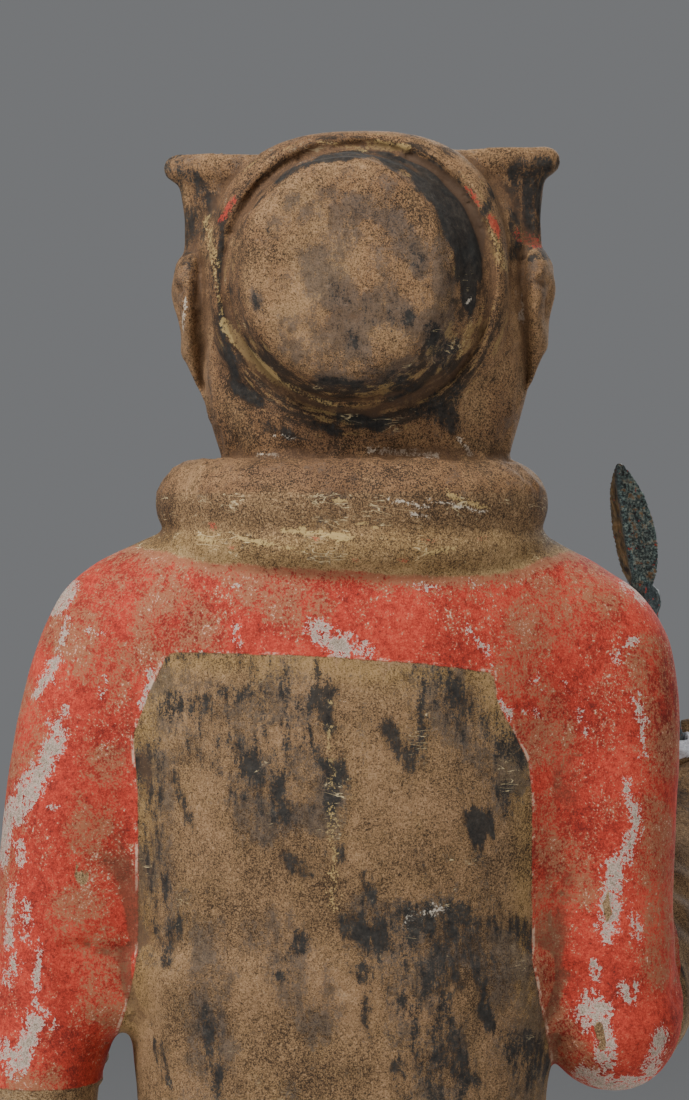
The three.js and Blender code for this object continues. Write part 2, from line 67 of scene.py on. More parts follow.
# The figure is laid out below in millimetres, as if its cap's top stood 598.4 mm above the floor, and scaled
# by the height that the frame gives. +Z is up, the figure faces -Y and its right hand is on -X.
MM = (CAD_BOX[1][2] - CAD_BOX[0][2]) / 598.4

# ---- Driving sizes, in millimetres ---------------------------------------------------------------
BASE = {"width": 166, "depth": 128, "height": 14, "corner": 10, "bevel": 1.5}
HEM = 181  # height of the outer robe's lower edge
WAIST = 345  # height of the belt
ARMPIT = 376  # height where the arms part from the flanks
HEAD = {"x": -3.4, "y": 2, "z": 556, "turn": -3.8, "roll": 1}  # midway between the ears; degrees
LEG_SPREAD = 27
FIST_MOUTH = np.array([-84.8, -79, 440])  # top of the hole through the right fist
SPEAR_AXIS = np.array([0.18, 0.272, 0.945]) / np.linalg.norm([0.18, 0.272, 0.945])
GRIP_HOLE = 5.6
# The spearhead: radii of the socket's mouth, neck, bore and collar, lengths of socket and blade, half width
# of the blade and half thickness of its rib.
SPEAR = {
    "mouth": 4.5, "neck": 3.3, "bore": 3.3, "collar": 4.7, "socket": 45, "blade": 36.5, "width": 7.4,
    "rib": 2.7,
}
PACKING_WIDTH = 7.4  # radius of the packing where it bulges out of the hole
SKIRT_EDGE = 193  # height where the robe's red ends
BOOT_TOP = 62
NECK = 509  # height above which everything near the head's middle belongs to the head
EYE = {"x": 1.4, "away": 1400, "z": 495, "wide": 275}  # where it is seen from, behind it, and how wide a view
CROWN_RISE = 5.6  # of the cap's round crown above the middle of the ears
BULGE_SQUEEZE = 0.08  # how much narrower than tall the bulge's flat end is
BULGE_LEAN = 0.15  # of the crown's flat-ended bulge to the left, as a share of how far it stands out

# Lower robe: height, half width, depth behind and in front, sideways place of the middle.
LOWER_ROBE = (
    (189, 0, 0, 0, 1),
    (175, 65, 44, 47, 1),
    (176.5, 69.5, 47.5, 51, 1),
    (HEM - 1, 70, 48, 51.5, 1),
    (HEM, 72.5, 50, 54, 1),
    (HEM + 2, 74.5, 51.5, 55.5, 1),
    (198, 73, 50, 54, 1),
    (225, 68.5, 47, 50.5, 1.2),
    (252, 64, 44.4, 47.4, 1.5),
    (285, 59, 41, 44, 1.8),
    (WAIST - 5, 51.2, 36.2, 38.7, 2.4),
    (WAIST - 4, 52.8, 37.8, 40.3, 2.4),
    (WAIST + 4, 52.8, 37.8, 40.3, 2.4),
    (WAIST + 5, 51.2, 36.2, 38.7, 2.3),
    (360, 51.2, 36.4, 38.5, 2.2),
    (ARMPIT, 53, 37.5, 38.8, 1.6),
)

# Chest, back and upper arms: height, half width of the trunk, depth behind and in front, reach of the left
# and right arm, half width and half depth of an arm, radius of the hollow between arm and trunk.
UPPER_BODY = (
    (ARMPIT, 53, 37.5, 38.8, 89, 82.2, 16.4, 18.5, 7),
    (392, 54, 38.5, 39, 88, 82.4, 17, 19.5, 10),
    (410, 55, 39.5, 39.5, 87.3, 81.7, 17.5, 20, 12),
    (430, 56.5, 41, 40, 85.8, 82.2, 17.8, 20.5, 15),
    (448, 57, 41.5, 39.5, 83.4, 82.6, 17.8, 20, 18),
    (462, 57, 41.5, 38.5, 81, 81.6, 17.5, 19, 20),
    (474, 56, 41, 37, 77.2, 78.8, 17, 17.5, 22),
    (484, 53, 39.8, 35, 71.8, 72, 16, 15, 22),
    (491, 50, 38, 32.5, 64, 61, 15, 11.5, 20),
    (496, 46, 35.5, 30, 54, 51, 12, 8, 16),
    (500, 40, 31, 27, 44, 43, 10, 6, 12),
    (508, 25, 20, 18, 25, 25, 5, 5, 5),
    (509, 0, 0, 0, 0, 0, 0, 0, 1),
)

# Neck, jaw and skull, in the head's frame: height, half width, depth behind and in front.
SKULL = (
    (-62, 0, 0, 0),
    (-60, 29, 22, 25),
    (-47, 32.5, 24, 27),
    (-42.5, 34.6, 25, 33.5),
    (-36, 36.4, 26, 38.2),
    (-29, 38.4, 27, 40.2),
    (-21, 40.6, 27, 41.2),
    (-12, 41.8, 26, 41.8),
    (-3, 42.3, 24, 42),
    (6, 42.4, 22, 42.2),
    (14, 42, 20, 41.8),
    (26, 38, 16, 38),
    (34, 28, 10, 28),
    (37, 0, 0, 0),
)

# Crown of the cap with its back ridge and flat-ended bulge: radius, distance behind the ears.
CROWN = (
    (0, -34), (18, -31.5), (29, -22), (35, -8), (36.8, 8), (36.8, 19), (35.9, 22.6), (34.6, 24),
    (33.2, 23.6), (32.2, 22.4), (31.2, 25), (29.6, 32), (27.6, 38.6), (24, 41.4), (13, 42.8), (0, 43.2),
)

# Turned-up brim: share of its height, half width, depth behind and in front.
BRIM = (
    (0, 0, 0, 0),
    (0, 43.2, 9, 43.6),
    (0.12, 44.6, 10, 45.2),
    (0.4, 44.4, 10.5, 46.4),
    (0.65, 45.2, 11, 47.6),
    (0.85, 46.2, 11.5, 49),
    (0.94, 45.8, 11.5, 50),
    (0.96, 44, 10.5, 49),
    (0.97, 41, 7, 43),
    (0.9, 0, 0, 0),
)

RIGHT_UPPER_ARM = ((-64.8, 1, 398, 12, 14), (-65, 1.5, 386, 14.6, 16.6), (-65, 2, 377, 16.8, 18.6))
RIGHT_FOREARM = (
    (-66, 3, 377.5, 16.2, 17.6),
    (-71, -18, 385.5, 17, 20),
    (-76.5, -40, 398, 16.5, 19.5),
    (-81.5, -59, 413, 14.5, 16),
    (-84.5, -69, 421.5, 12.6, 13),
)
LEFT_UPPER_ARM = (
    (72, 1, 394, 13, 15),
    (73.2, 1, 382, 16, 18.6),
    (75.6, 1.2, 372, 15.4, 18.8),
    (77.2, 1.6, 364, 14.9, 18.4),
    (77.6, 2.2, 358, 14.6, 17.6),
    (78.8, 4, 349, 15.4, 17.4),
)
LEFT_FOREARM = (
    (78.6, 4, 349, 15, 16),
    (79, -16, 348.5, 15.2, 17),
    (79, -38, 350, 14.4, 16),
    (78.4, -57, 353, 12.4, 13.2),
)


# ---- Shared shaping ------------------------------------------------------------------------------
def along(rows, share):
    """Values at each share of the way through the rows, on smooth curves through them all."""
    table = np.array(rows, float)
    last = len(table) - 1
    place = np.clip(np.atleast_1d(share), 0, 1) * last
    i = np.minimum(place.astype(int), last - 1)
    u = (place - i)[:, None]

    def at(k):
        return table[np.clip(k, 0, last)]

    p, q = at(i), at(i + 1)
    m, n = (q - at(i - 1)) / 2, (at(i + 2) - p) / 2
    return p + u * (m + u * (3 * (q - p) - 2 * m - n + u * (2 * (p - q) + m + n)))


def boxy_reach(turn, wide, deep, square):
    """Reach of a rounded rectangle in a direction; square is 2 for an ellipse and more for a boxier one."""
    safe_wide, safe_deep = np.maximum(wide, 1e-6), np.maximum(deep, 1e-6)
    return 1 / (
        np.abs(np.cos(turn) / safe_wide) ** square + np.abs(np.sin(turn) / safe_deep) ** square
    ) ** (1 / square)


def bell(x, z, wide, tall):
    return np.exp(-((x / wide) ** 2) - (z / tall) ** 2)


def ridge(value, middle, width):
    """1 at the middle, fading out on both sides of it."""
    return np.exp(-(((value - middle) / width) ** 2))


def ease(low, high, value):
    """0 below low and 1 above high, with a smooth rise between."""
    t = np.clip((value - low) / (high - low), 0, 1)
    return t * t * (3 - 2 * t)


def head_matrix():
    turned = Matrix.Rotation(math.radians(HEAD["turn"]), 4, "Z")
    rolled = Matrix.Rotation(math.radians(HEAD["roll"]), 4, "Y")
    return np.array(Matrix.Translation((HEAD["x"], HEAD["y"], HEAD["z"])) @ turned @ rolled)


def moved(points, matrix):
    return points @ matrix[:3, :3].T + matrix[:3, 3]


def by_side(turn, behind, ahead):
    return np.where(np.sin(turn) > 0, behind, ahead)


def at_pole(share):
    return (share == 0) | (share == 1)


def ringed(turn, reach, height, x=0, y=0):
    """Points at a reach round an upright line through (x, y)."""
    return np.stack([x + reach * np.cos(turn), y + reach * np.sin(turn), height], 1)


def left_sleeve_end(y, z):
    """How far below the left sleeve's hem a place is."""
    return 361.7 + 0.08 * (20 - y) - z


def right_sleeve_end(y, z):
    """How far past the right sleeve's hem a place is, towards the fist."""
    return 1 - y - 0.2 * (z - 376)


HEAD_FRAME = head_matrix()
HEAD_FROM_WORLD = np.linalg.inv(HEAD_FRAME)


def basis(position, grip, ahead):
    """A frame at position whose Z runs along grip and whose -Y points ahead."""
    z = np.array(grip, float) / np.linalg.norm(grip)
    y = -(np.array(ahead, float) - np.dot(ahead, z) * z)
    y /= np.linalg.norm(y)
    matrix = np.eye(4)
    matrix[:3, 0], matrix[:3, 1], matrix[:3, 2], matrix[:3, 3] = np.cross(y, z), y, z, position
    return matrix


def set_points(form, points):
    for vertex, point in zip(form.verts, points * MM):
        vertex.co = point


def points_of(form):
    return np.array([vertex.co[:] for vertex in form.verts])


def skin(segments, rings, place, matrix=None):
    """A closed skin: a sphere whose points go where place(turn, share of the way up) says, in millimetres."""
    form = bmesh.new()
    bmesh.ops.create_uvsphere(form, u_segments=segments, v_segments=rings, radius=1)
    x, y, z = points_of(form).T
    share = 1 - np.rint(np.arccos(np.clip(z, -1, 1)) / math.pi * rings) / rings
    turn = np.arctan2(y, x) % (2 * math.pi)
    points = place(turn, share)
    set_points(form, points if matrix is None else moved(points, matrix))
    return form


def spun(form, steps, near):
    """Spins the form's edges once round Z and closes the result."""
    full = {"cent": (0, 0, 0), "axis": (0, 0, 1), "angle": 2 * math.pi, "steps": steps, "use_merge": True}
    bmesh.ops.spin(form, geom=form.edges[:], **full)
    bmesh.ops.remove_doubles(form, verts=form.verts, dist=near)
    bmesh.ops.recalc_face_normals(form, faces=form.faces)


def hoop(segments, sides, place, matrix=None):
    """A closed ring whose points go where place(turn, turn round the section) says, in millimetres."""
    form = bmesh.new()
    bmesh.ops.create_circle(form, segments=sides, radius=1, matrix=Matrix.Rotation(math.pi / 2, 4, "X"))
    bmesh.ops.translate(form, verts=form.verts, vec=(2, 0, 0))
    spun(form, segments, 1e-5)
    x, y, z = points_of(form).T
    points = place(np.arctan2(y, x) % (2 * math.pi), np.arctan2(z, np.hypot(x, y) - 2))
    set_points(form, points if matrix is None else moved(points, matrix))
    return form


def turned(profile, steps, matrix=None, shape=None):
    """A form turned round Z from (radius, height) points, smoothed along the profile, in millimetres."""
    form = bmesh.new()
    chain = [form.verts.new((r, 0, z)) for r, z in profile]
    for a, b in zip(chain, chain[1:]):
        form.edges.new((a, b))
    spun(form, steps, 1e-4)
    points = points_of(form)
    if shape is not None:
        points = shape(points)
    set_points(form, points if matrix is None else moved(points, matrix))
    return form


def limb(segments, steps, rows, side, dome=6, matrix=None):
    """A limb with domed ends along rows of x, y, z, half width towards side, half width across it."""
    rings = steps + 2 * dome
    toward = np.array(side, float) / np.linalg.norm(side)

    def place(turn, share):
        ring = np.rint(share * rings)
        s = np.clip((ring - dome) / steps, 0, 1)
        row = along(rows, s)
        ahead = along(rows, np.minimum(s + 0.02, 1))[:, :3] - along(rows, np.maximum(s - 0.02, 0))[:, :3]
        ahead /= np.linalg.norm(ahead, axis=1)[:, None]
        across = toward - (ahead @ toward)[:, None] * ahead
        across /= np.linalg.norm(across, axis=1)[:, None]
        over = np.cross(ahead, across)
        end = np.minimum(ring - dome, 0) + np.maximum(ring - dome - steps, 0)
        bend = end / dome * (math.pi / 2)
        wide, deep = row[:, 3], row[:, 4]
        return (
            row[:, :3]
            + (np.sin(bend) * np.minimum(wide, deep))[:, None] * ahead
            + (np.cos(bend) * wide * np.cos(turn))[:, None] * across
            + (np.cos(bend) * deep * np.sin(turn))[:, None] * over
        )

    return skin(segments, rings, place, matrix)


def joined(forms, name):
    """One mesh object of all the forms."""
    whole = bmesh.new()
    for form in forms:
        piece = bpy.data.meshes.new("part")
        form.to_mesh(piece)
        form.free()
        whole.from_mesh(piece)
        bpy.data.meshes.remove(piece)
    mesh = bpy.data.meshes.new(name)
    whole.to_mesh(mesh)
    whole.free()
    made = bpy.data.objects.new(name, mesh)
    bpy.context.scene.collection.objects.link(made)
    return made


def settled(made):
    """Applies the object's modifiers to its mesh."""
    graph = bpy.context.evaluated_depsgraph_get()
    mesh = bpy.data.meshes.new_from_object(made.evaluated_get(graph))
    old = made.data
    made.modifiers.clear()
    mesh.name = old.name
    made.data = mesh
    bpy.data.meshes.remove(old)


def cast(forms, name, voxel):
    """The forms run together into one closed object."""
    made = joined(forms, name)
    remesh = made.modifiers.new("cast", "REMESH")
    remesh.mode = "VOXEL"
    remesh.voxel_size = voxel
    settled(made)
    return made


def read_points(mesh):
    flat = np.empty(len(mesh.vertices) * 3, np.float32)
    mesh.vertices.foreach_get("co", flat)
    return flat.reshape(-1, 3).astype(float) / MM


def write_points(mesh, points):
    mesh.vertices.foreach_set("co", (points * MM).astype(np.float32).ravel())
    mesh.update()


def read_normals(mesh):
    flat = np.empty(len(mesh.vertices) * 3, np.float32)
    mesh.vertex_normals.foreach_get("vector", flat)
    return flat.reshape(-1, 3).astype(float)


def edge_ends(mesh):
    flat = np.empty(len(mesh.edges) * 2, np.int32)
    mesh.edges.foreach_get("vertices", flat)
    return flat.reshape(-1, 2)


def neighbour_mean(values, ends):
    """Each vertex's mean over its neighbours."""
    count = len(values)
    total = np.zeros_like(values)
    number = np.bincount(ends.ravel(), minlength=count)
    for column in range(values.shape[1]):
        total[:, column] = np.bincount(ends[:, 0], values[ends[:, 1], column], count) + np.bincount(
            ends[:, 1], values[ends[:, 0], column], count
        )
    return total / np.maximum(number, 1)[:, None]


def relaxed(points, ends, rounds, amount):
    """Points smoothed by their neighbours; amount is one number or one per point."""
    strength = np.broadcast_to(np.asarray(amount, float), (len(points),))[:, None]
    for _ in range(rounds):
        points = points + strength * (neighbour_mean(points, ends) - points)
    return points


def lumps(points, size, seed):
    """Smooth random values from -1 to 1 in space, with bumps about as wide as size."""
    cells = 48
    lattice = np.random.default_rng(seed).uniform(-1, 1, (cells, cells, cells))
    scaled = points / size
    base = np.floor(scaled).astype(int)
    part = scaled - base
    part = part * part * (3 - 2 * part)
    value = 0
    for step in np.ndindex(2, 2, 2):
        corner = lattice[tuple(((base + step) % cells).T)]
        value = value + corner * np.where(step, part, 1 - part).prod(axis=1)
    return value


def strokes(x, z, marks):
    """How far each point lies inside the nearest of the marks, which are (x, z, x, z, radius)."""
    best = np.full(len(x), -99.0)
    for x0, z0, x1, z1, radius in marks:
        dx, dz = x1 - x0, z1 - z0
        t = np.clip(((x - x0) * dx + (z - z0) * dz) / max(dx * dx + dz * dz, 1e-9), 0, 1)
        best = np.maximum(best, radius - np.hypot(x - x0 - t * dx, z - z0 - t * dz))
    return best


def shade(x, z, marks):
    """How dense soft marks are at each point: 1, or a mark's own strength, on it, fading away from it."""
    best = np.zeros(len(x))
    for mark in marks:
        away = np.maximum(-strokes(x, z, (mark[:5],)), 0)
        strength = mark[5] if len(mark) > 5 else 1
        best = np.maximum(best, strength * ridge(away, 0, 0.6 * mark[4] + 0.2))
    return best


def inside(x, z, outline):
    """Signed distance to a closed outline of (x, z) corners, positive inside."""
    distance = np.full(len(x), 1e9)
    crossed = np.zeros(len(x), bool)
    corners = list(outline)
    for (x0, z0), (x1, z1) in zip(corners, corners[1:] + corners[:1]):
        dx, dz = x1 - x0, z1 - z0
        t = np.clip(((x - x0) * dx + (z - z0) * dz) / max(dx * dx + dz * dz, 1e-9), 0, 1)
        distance = np.minimum(distance, np.hypot(x - x0 - t * dx, z - z0 - t * dz))
        if z0 != z1:
            crossed ^= ((z0 > z) != (z1 > z)) & (x < x0 + dx * (z - z0) / dz)
    return np.where(crossed, distance, -distance)


# ---- Forms of the figure -------------------------------------------------------------------------
def drape(turn, z):
    """Soft pleats towards the hem, and the edge of the outer lapel, folded over to the figure's right."""
    fall = np.clip((WAIST - 15 - z) / (WAIST - 15 - HEM), 0, 1) ** 1.3
    pleats = 1.5 * np.cos(7 * turn + 0.8) + 1.1 * np.cos(11 * turn - 0.6)
    edge = -math.pi / 2 - 0.25 - (0.35 * (WAIST - z)) / (WAIST - HEM)
    past = np.where(turn > math.pi, turn - 2 * math.pi, turn) - edge
    lapel = 1.6 * np.clip(past / 0.03, 0, 1) * np.clip((2.4 - past) / 2, 0, 1)
    return np.where(z < WAIST, fall * pleats + lapel * np.clip((WAIST - z) / 20, 0, 1), 0)


def robe_form():
    closed = LOWER_ROBE + ((ARMPIT + 24, 52, 36, 37, 1.4), (ARMPIT + 26, 0, 0, 0, 1.4))

    def place(turn, share):
        z, wide, back, front, shift = along(closed, share).T
        reach = boxy_reach(turn, wide, by_side(turn, back, front), 2.35) + drape(turn, z)
        reach = np.where(at_pole(share), 0, reach)
        return ringed(turn, reach, z, shift)

    return skin(288, 340, place)


def shoulder_reach(turn, row):
    _, wide, back, front, left, right, arm_wide, arm_deep, hollow = row.T

    def gap(reach):
        x, y = reach * np.cos(turn), reach * np.sin(turn)
        trunk = reach - boxy_reach(turn, wide, np.where(y > 0, back, front), 2.35)
        inner = np.minimum(arm_wide, arm_deep)
        left_arm = (np.hypot((x - left + arm_wide) / arm_wide, (y - 1) / arm_deep) - 1) * inner
        right_arm = (np.hypot((x + right - arm_wide) / arm_wide, (y - 1) / arm_deep) - 1) * inner
        arms = np.minimum(left_arm, right_arm)
        h = np.maximum(hollow - np.abs(trunk - arms), 0) / hollow
        return np.minimum(trunk, arms) - h * h * hollow / 4

    outer = np.full(len(turn), 110.0)
    while True:
        free = (gap(outer) > 0) & (outer > 1)
        if not free.any():
            break
        outer[free] -= 1
    low, high = outer.copy(), outer + 1
    for _ in range(10):
        middle = (low + high) / 2
        out = gap(middle) > 0
        high = np.where(out, middle, high)
        low = np.where(out, low, middle)
    return low


def chest_form():
    rows = np.array(UPPER_BODY, float)

    def place(turn, share):
        row = along(rows, np.clip((share - 0.02) / 0.98, 0, 1))
        row[:, 6:8] = np.maximum(row[:, 6:8], 1e-3)
        row[:, 8] = np.maximum(row[:, 8], 1)
        pole = at_pole(share)
        reach = np.where(pole, 0, shoulder_reach(turn, row))
        shift = 1.6 * np.clip((470 - row[:, 0]) / 94, 0, 1)
        return ringed(turn, reach, row[:, 0], shift)

    return skin(320, 170, place)


def collar_forms():
    def roll(turn, section):
        ahead = np.maximum(-np.sin(turn), 0)
        behind = np.maximum(np.sin(turn), 0)
        plump = 1 + 0.04 * np.sin(3 * turn + 1) + 0.03 * np.sin(7 * turn)
        reach = boxy_reach(turn, 37.8, by_side(turn, 31, 33), 2.2) + 11 * np.cos(section) * plump
        tall = np.where(np.sin(section) > 0, 10.6, 11.4 + 2.5 * behind)
        height = 506.8 - 8 * ahead**2 + tall * np.sin(section) * (1 - 0.12 * ahead)
        return ringed(turn, reach, height, -0.7, 1)

    def under_roll(turn, section):
        ahead = np.maximum(-np.sin(turn), 0)
        reach = boxy_reach(turn, 40.5, by_side(turn, 33.5, 33), 2.2) + 8.5 * np.cos(section)
        height = 495.5 - 9 * ahead**2 + 7.5 * np.sin(section)
        return ringed(turn, reach, height, -0.7, 1)

    over = (
        (29, -29, 502, 9, 4.5), (12, -37, 492, 10, 5), (-6, -42.5, 479, 9.5, 4.5), (-15, -41, 466, 7.5, 2.5),
    )
    under = ((-29, -29, 502, 9, 4.5), (-14, -36, 492, 9.5, 4.5), (2, -40, 480, 8, 3.5))
    return [
        hoop(160, 40, roll),
        hoop(160, 32, under_roll),
        limb(32, 40, over, (-0.6, 0, 0.8)),
        limb(32, 32, under, (0.6, 0, 0.8)),
    ]


def fist_forms(outer, hollow, thumb, matrix):
    """A fist closed round a grip along Z, knuckles ahead on -Y, the back of the hand towards outer."""
    pitch, fingers = 6.3, 4
    half = fingers * pitch / 2
    profile = []
    for i in range(fingers * 12 + 1):
        z = -half + i * pitch / 12
        swell = abs(math.sin(math.pi * (z + half) / pitch))
        profile.append((8 + 4.3 * swell**0.55 - (0.4 if i in (0, fingers * 12) else 0), z))
    inner = GRIP_HOLE + 0.6 if hollow else 0
    profile = [(inner, -half)] + profile + [(inner, half)]
    if hollow:
        profile.append((inner, -half))

    def knuckled(points):
        x, y, z = points.T
        radius = np.hypot(x, y)
        turn = np.arctan2(y, x)
        knuckle = 0.9 * ridge(turn, -0.75, 0.28) + 0.9 * ridge(turn, -2.35, 0.28)
        grown = np.where(radius > GRIP_HOLE + 1, 1 + knuckle / np.maximum(radius, 1), 1)
        return np.stack([x * grown, y * grown, z], 1)

    palm = (
        (outer * 2.5, 20, -1, 8.5, 9.5),
        (outer * 3, 11, -0.5, 9.5, 12),
        (outer * 4.5, 0, 0, 7.5, 12.3),
        (outer * 5, -5, 0, 5, 11),
    )
    return [
        turned(profile, 64, matrix, knuckled),
        limb(28, 20, palm, (1, 0, 0), matrix=matrix),
        limb(20, 20, thumb, (1, 0, 0), matrix=matrix),
    ]


def arm_forms():
    side = (1, 0, 0)
    right_thumb = (
        (3, 6, 8, 4.5, 4.5), (1, -6, 12, 5, 4.8), (-3.5, -10.8, 14.5, 5, 4.6), (-6, -11.2, 15.5, 4.2, 4),
    )
    left_thumb = ((-3.5, 7, 7, 4.4, 4.4), (-6.5, -3, 8.5, 4.4, 4.2), (-6, -9.5, 8, 3.8, 3.8))
    right_fist = basis(FIST_MOUTH - 12.6 * SPEAR_AXIS, SPEAR_AXIS, (-0.12, -0.82, 0.5))
    left_fist = basis((77.6, -73, 355.5), (-0.25, -0.2, 0.95), (-0.15, -1, 0.1))
    return [
        limb(72, 60, RIGHT_UPPER_ARM, side, 20),
        limb(72, 80, RIGHT_FOREARM, side, 12),
        limb(72, 60, LEFT_UPPER_ARM, side, 20),
        limb(72, 70, LEFT_FOREARM, side, 12),
        *fist_forms(-1, True, right_thumb, right_fist),
        *fist_forms(1, False, left_thumb, left_fist),
    ]


def leg_forms():
    forms = []
    for way in (1, -1):
        x = way * LEG_SPREAD
        leg = (
            (x * 0.98, 2, 200, 22, 23),
            (x * 0.98, 2, 165, 21.6, 22.8),
            (x, 3, 132, 20.5, 22),
            (x, 4, 100, 18.8, 20.4),
            (x, 5, 72, 17.6, 19),
            (x, 5.5, 61, 15, 16.6),
            (x, 6, 46, 13.6, 15.6),
            (x, 6, 30, 14, 16),
        )
        boot = (
            (x, 20, BASE["height"] + 11, 14, 13),
            (x, 8, BASE["height"] + 14, 15, 17),
            (x + way * 1.5, -8, BASE["height"] + 12, 15.5, 15),
            (x + way * 3.5, -26, BASE["height"] + 8.5, 16.5, 11.5),
            (x + way * 4.5, -40, BASE["height"] + 7.5, 14.5, 9.5),
        )
        forms += [limb(64, 100, leg, (1, 0, 0)), limb(48, 48, boot, (1, 0, 0), 10)]
    return forms


def base_form():
    form = bmesh.new()
    bmesh.ops.create_cube(form, size=1)
    scale = Matrix.Diagonal((BASE["width"] * MM, BASE["depth"] * MM, BASE["height"] * MM, 1))
    lift = Matrix.Translation((0, 0, BASE["height"] * MM / 2))
    bmesh.ops.transform(form, verts=form.verts, matrix=lift @ scale)

    def rise(edge):
        return abs(edge.verts[0].co.z - edge.verts[1].co.z)

    rounding = {"profile": 0.5, "affect": "EDGES", "material": -1}
    uprights = [e for e in form.edges if rise(e) > 1e-4]
    bmesh.ops.bevel(form, geom=uprights, offset=BASE["corner"] * MM, segments=10, **rounding)
    rims = [e for e in form.edges if rise(e) < 1e-6 and len(e.link_faces) == 2]
    bmesh.ops.bevel(form, geom=rims, offset=BASE["bevel"] * MM, segments=3, **rounding)
    return form


def face_relief(across, z):
    x = np.abs(across)
    return (
        2.4 * bell(x, z - 9.5, 25, 3)
        - 4.6 * bell(x - 15.5, z + 0.8, 9.5, 6.2)
        + 1.8 * bell(x - 22, z + 14, 10, 9)
        + 2 * bell(x, z + 28, 14, 8)
        + 3 * bell(x, z + 39, 10, 5)
        - 0.9 * bell(x, z + 21.5, 2, 3)
        - 1.2 * bell(x - 12.5, z + 27.5, 2.6, 3)
    )


def skull_form():
    def place(turn, share):
        z, wide, back, front = along(SKULL, share).T
        square = 2.25 - 0.5 * np.clip((-14 - z) / 26, 0, 1) * np.clip(-np.sin(turn) * 3, 0, 1)
        reach = boxy_reach(turn, wide, by_side(turn, back, front), square)
        reach = np.where(at_pole(share), 0, reach)
        x, y = reach * np.cos(turn), reach * np.sin(turn)
        facing = np.clip(-np.sin(turn) * 2.2 - 0.5, 0, 1)
        return np.stack([x, y - facing * face_relief(x, z), z], 1)

    return skin(240, 170, place, HEAD_FRAME)


def egg(segments, rings, centre, radii, tilt):
    """A rounded form of the face, turned about its own upright."""

    def place(turn, share):
        up = (share - 0.5) * math.pi
        wide, deep, tall = radii
        x, y = wide * np.cos(up) * np.cos(turn), deep * np.cos(up) * np.sin(turn)
        across = centre[0] + x * math.cos(tilt) - y * math.sin(tilt)
        ahead = centre[1] + x * math.sin(tilt) + y * math.cos(tilt)
        return np.stack([across, ahead, centre[2] + tall * np.sin(up)], 1)

    return skin(segments, rings, place, HEAD_FRAME)


def feature_forms():
    side, upward = (1, 0, 0), (0, 0, 1)
    nose = (
        (0, -40.5, 8, 2.6, 2.6), (0, -42.5, 0, 2.9, 3.4), (0, -44.8, -8, 3.6, 4.2), (0, -46.4, -14, 4.6, 4.4),
    )

    def lip(z, out, wide, thick, bow):
        return (
            (-wide, -40.2, z - 0.6, thick * 0.4, thick * 0.5),
            (-wide * 0.45, -42.6 - out, z + 0.1 + bow, thick, thick),
            (0, -43 - out, z + 0.1 - bow * 0.6, thick, thick),
            (wide * 0.45, -42.6 - out, z + 0.1 + bow, thick, thick),
            (wide, -40.2, z - 0.6, thick * 0.4, thick * 0.5),
        )

    forms = [
        limb(36, 30, nose, side, 8, HEAD_FRAME),
        limb(24, 40, lip(-26, 0.4, 9, 1.7, 0.5), upward, 4, HEAD_FRAME),
        limb(24, 40, lip(-30.4, 0, 7.6, 2, 0), upward, 4, HEAD_FRAME),
    ]
    for way in (1, -1):
        brow = (
            (way * 5.5, -40.8, 7.8, 1.6, 2.2),
            (way * 15, -39.3, 10, 1.8, 2.6),
            (way * 26, -32.5, 7.4, 1.2, 1.8),
        )
        lid = (
            (way * 6.6, -38.4, -2.4, 1.1, 1.2),
            (way * 11, -40.4, 1.7, 1.3, 1.5),
            (way * 16.5, -39.8, 2.9, 1.3, 1.5),
            (way * 21.5, -36.8, 1.2, 1.2, 1.4),
            (way * 25.4, -33, -2, 0.9, 1.1),
        )
        lower_lid = (
            (way * 7.6, -38, -3.4, 0.9, 1),
            (way * 12, -39.2, -5, 1, 1.1),
            (way * 17, -38.4, -5.2, 1, 1.1),
            (way * 23, -34.2, -3.4, 0.8, 0.9),
        )
        forms += [
            egg(40, 28, (way * 15.6, -35.4, -0.9), (8.6, 4.4, 3.7), way * 0.34),
            egg(28, 20, (way * 4.6, -44, -15.2), (3.1, 3.4, 2.8), 0),
            limb(20, 36, brow, upward, 4, HEAD_FRAME),
            limb(16, 40, lid, upward, 4, HEAD_FRAME),
            limb(16, 36, lower_lid, upward, 4, HEAD_FRAME),
        ]
        ear = (
            (way * 38.5, 3, -18.5, 3.6, 3.4),
            (way * 40.8, 3.5, -11, 4, 5.6),
            (way * 42, 4.5, -2, 4.6, 8),
            (way * 43, 4, 5, 4.8, 8.4),
            (way * 43, 2.5, 8.5, 4, 6.5),
        )
        forms.append(limb(40, 50, ear, (1, way * 0.35, 0), 10, HEAD_FRAME))
    return forms


def bulge_reach(x, y, z):
    """Distance and direction from the middle line of the crown's bulge, its lean and squeeze taken out."""
    lean = BULGE_LEAN * np.maximum(y - 24, 0)
    rise = CROWN_RISE + 0.5 * lean
    radius = np.hypot((x - lean) / (1 - BULGE_SQUEEZE * ease(25, 39, y)), z - rise)
    return radius, np.arctan2(z - rise, x - lean)


def crown_form():
    smooth = along([(r, back) for r, back in CROWN], np.linspace(0, 1, 110))
    profile = [(max(r, 0.0), back) for r, back in smooth]
    profile[0] = (0.0, profile[0][1])
    profile[-1] = (0.0, profile[-1][1])
    stand = np.array(Matrix.Translation((0, 0, CROWN_RISE)) @ Matrix.Rotation(-math.pi / 2, 4, "X"))

    def squared(points):
        x, z, back = points.T
        boxy = np.clip((26 - back) / 8, 0, 1)
        stretch = 1 + boxy * (boxy_reach(np.arctan2(z, x), 1, 1, 2.6) - 1)
        lean = BULGE_LEAN * np.maximum(back - 24, 0)
        narrow = 1 - BULGE_SQUEEZE * ease(25, 39, back)
        return np.stack([x * stretch * narrow + lean, z * stretch - 0.5 * lean, back], 1)

    return turned(profile, 160, HEAD_FRAME @ stand, squared)


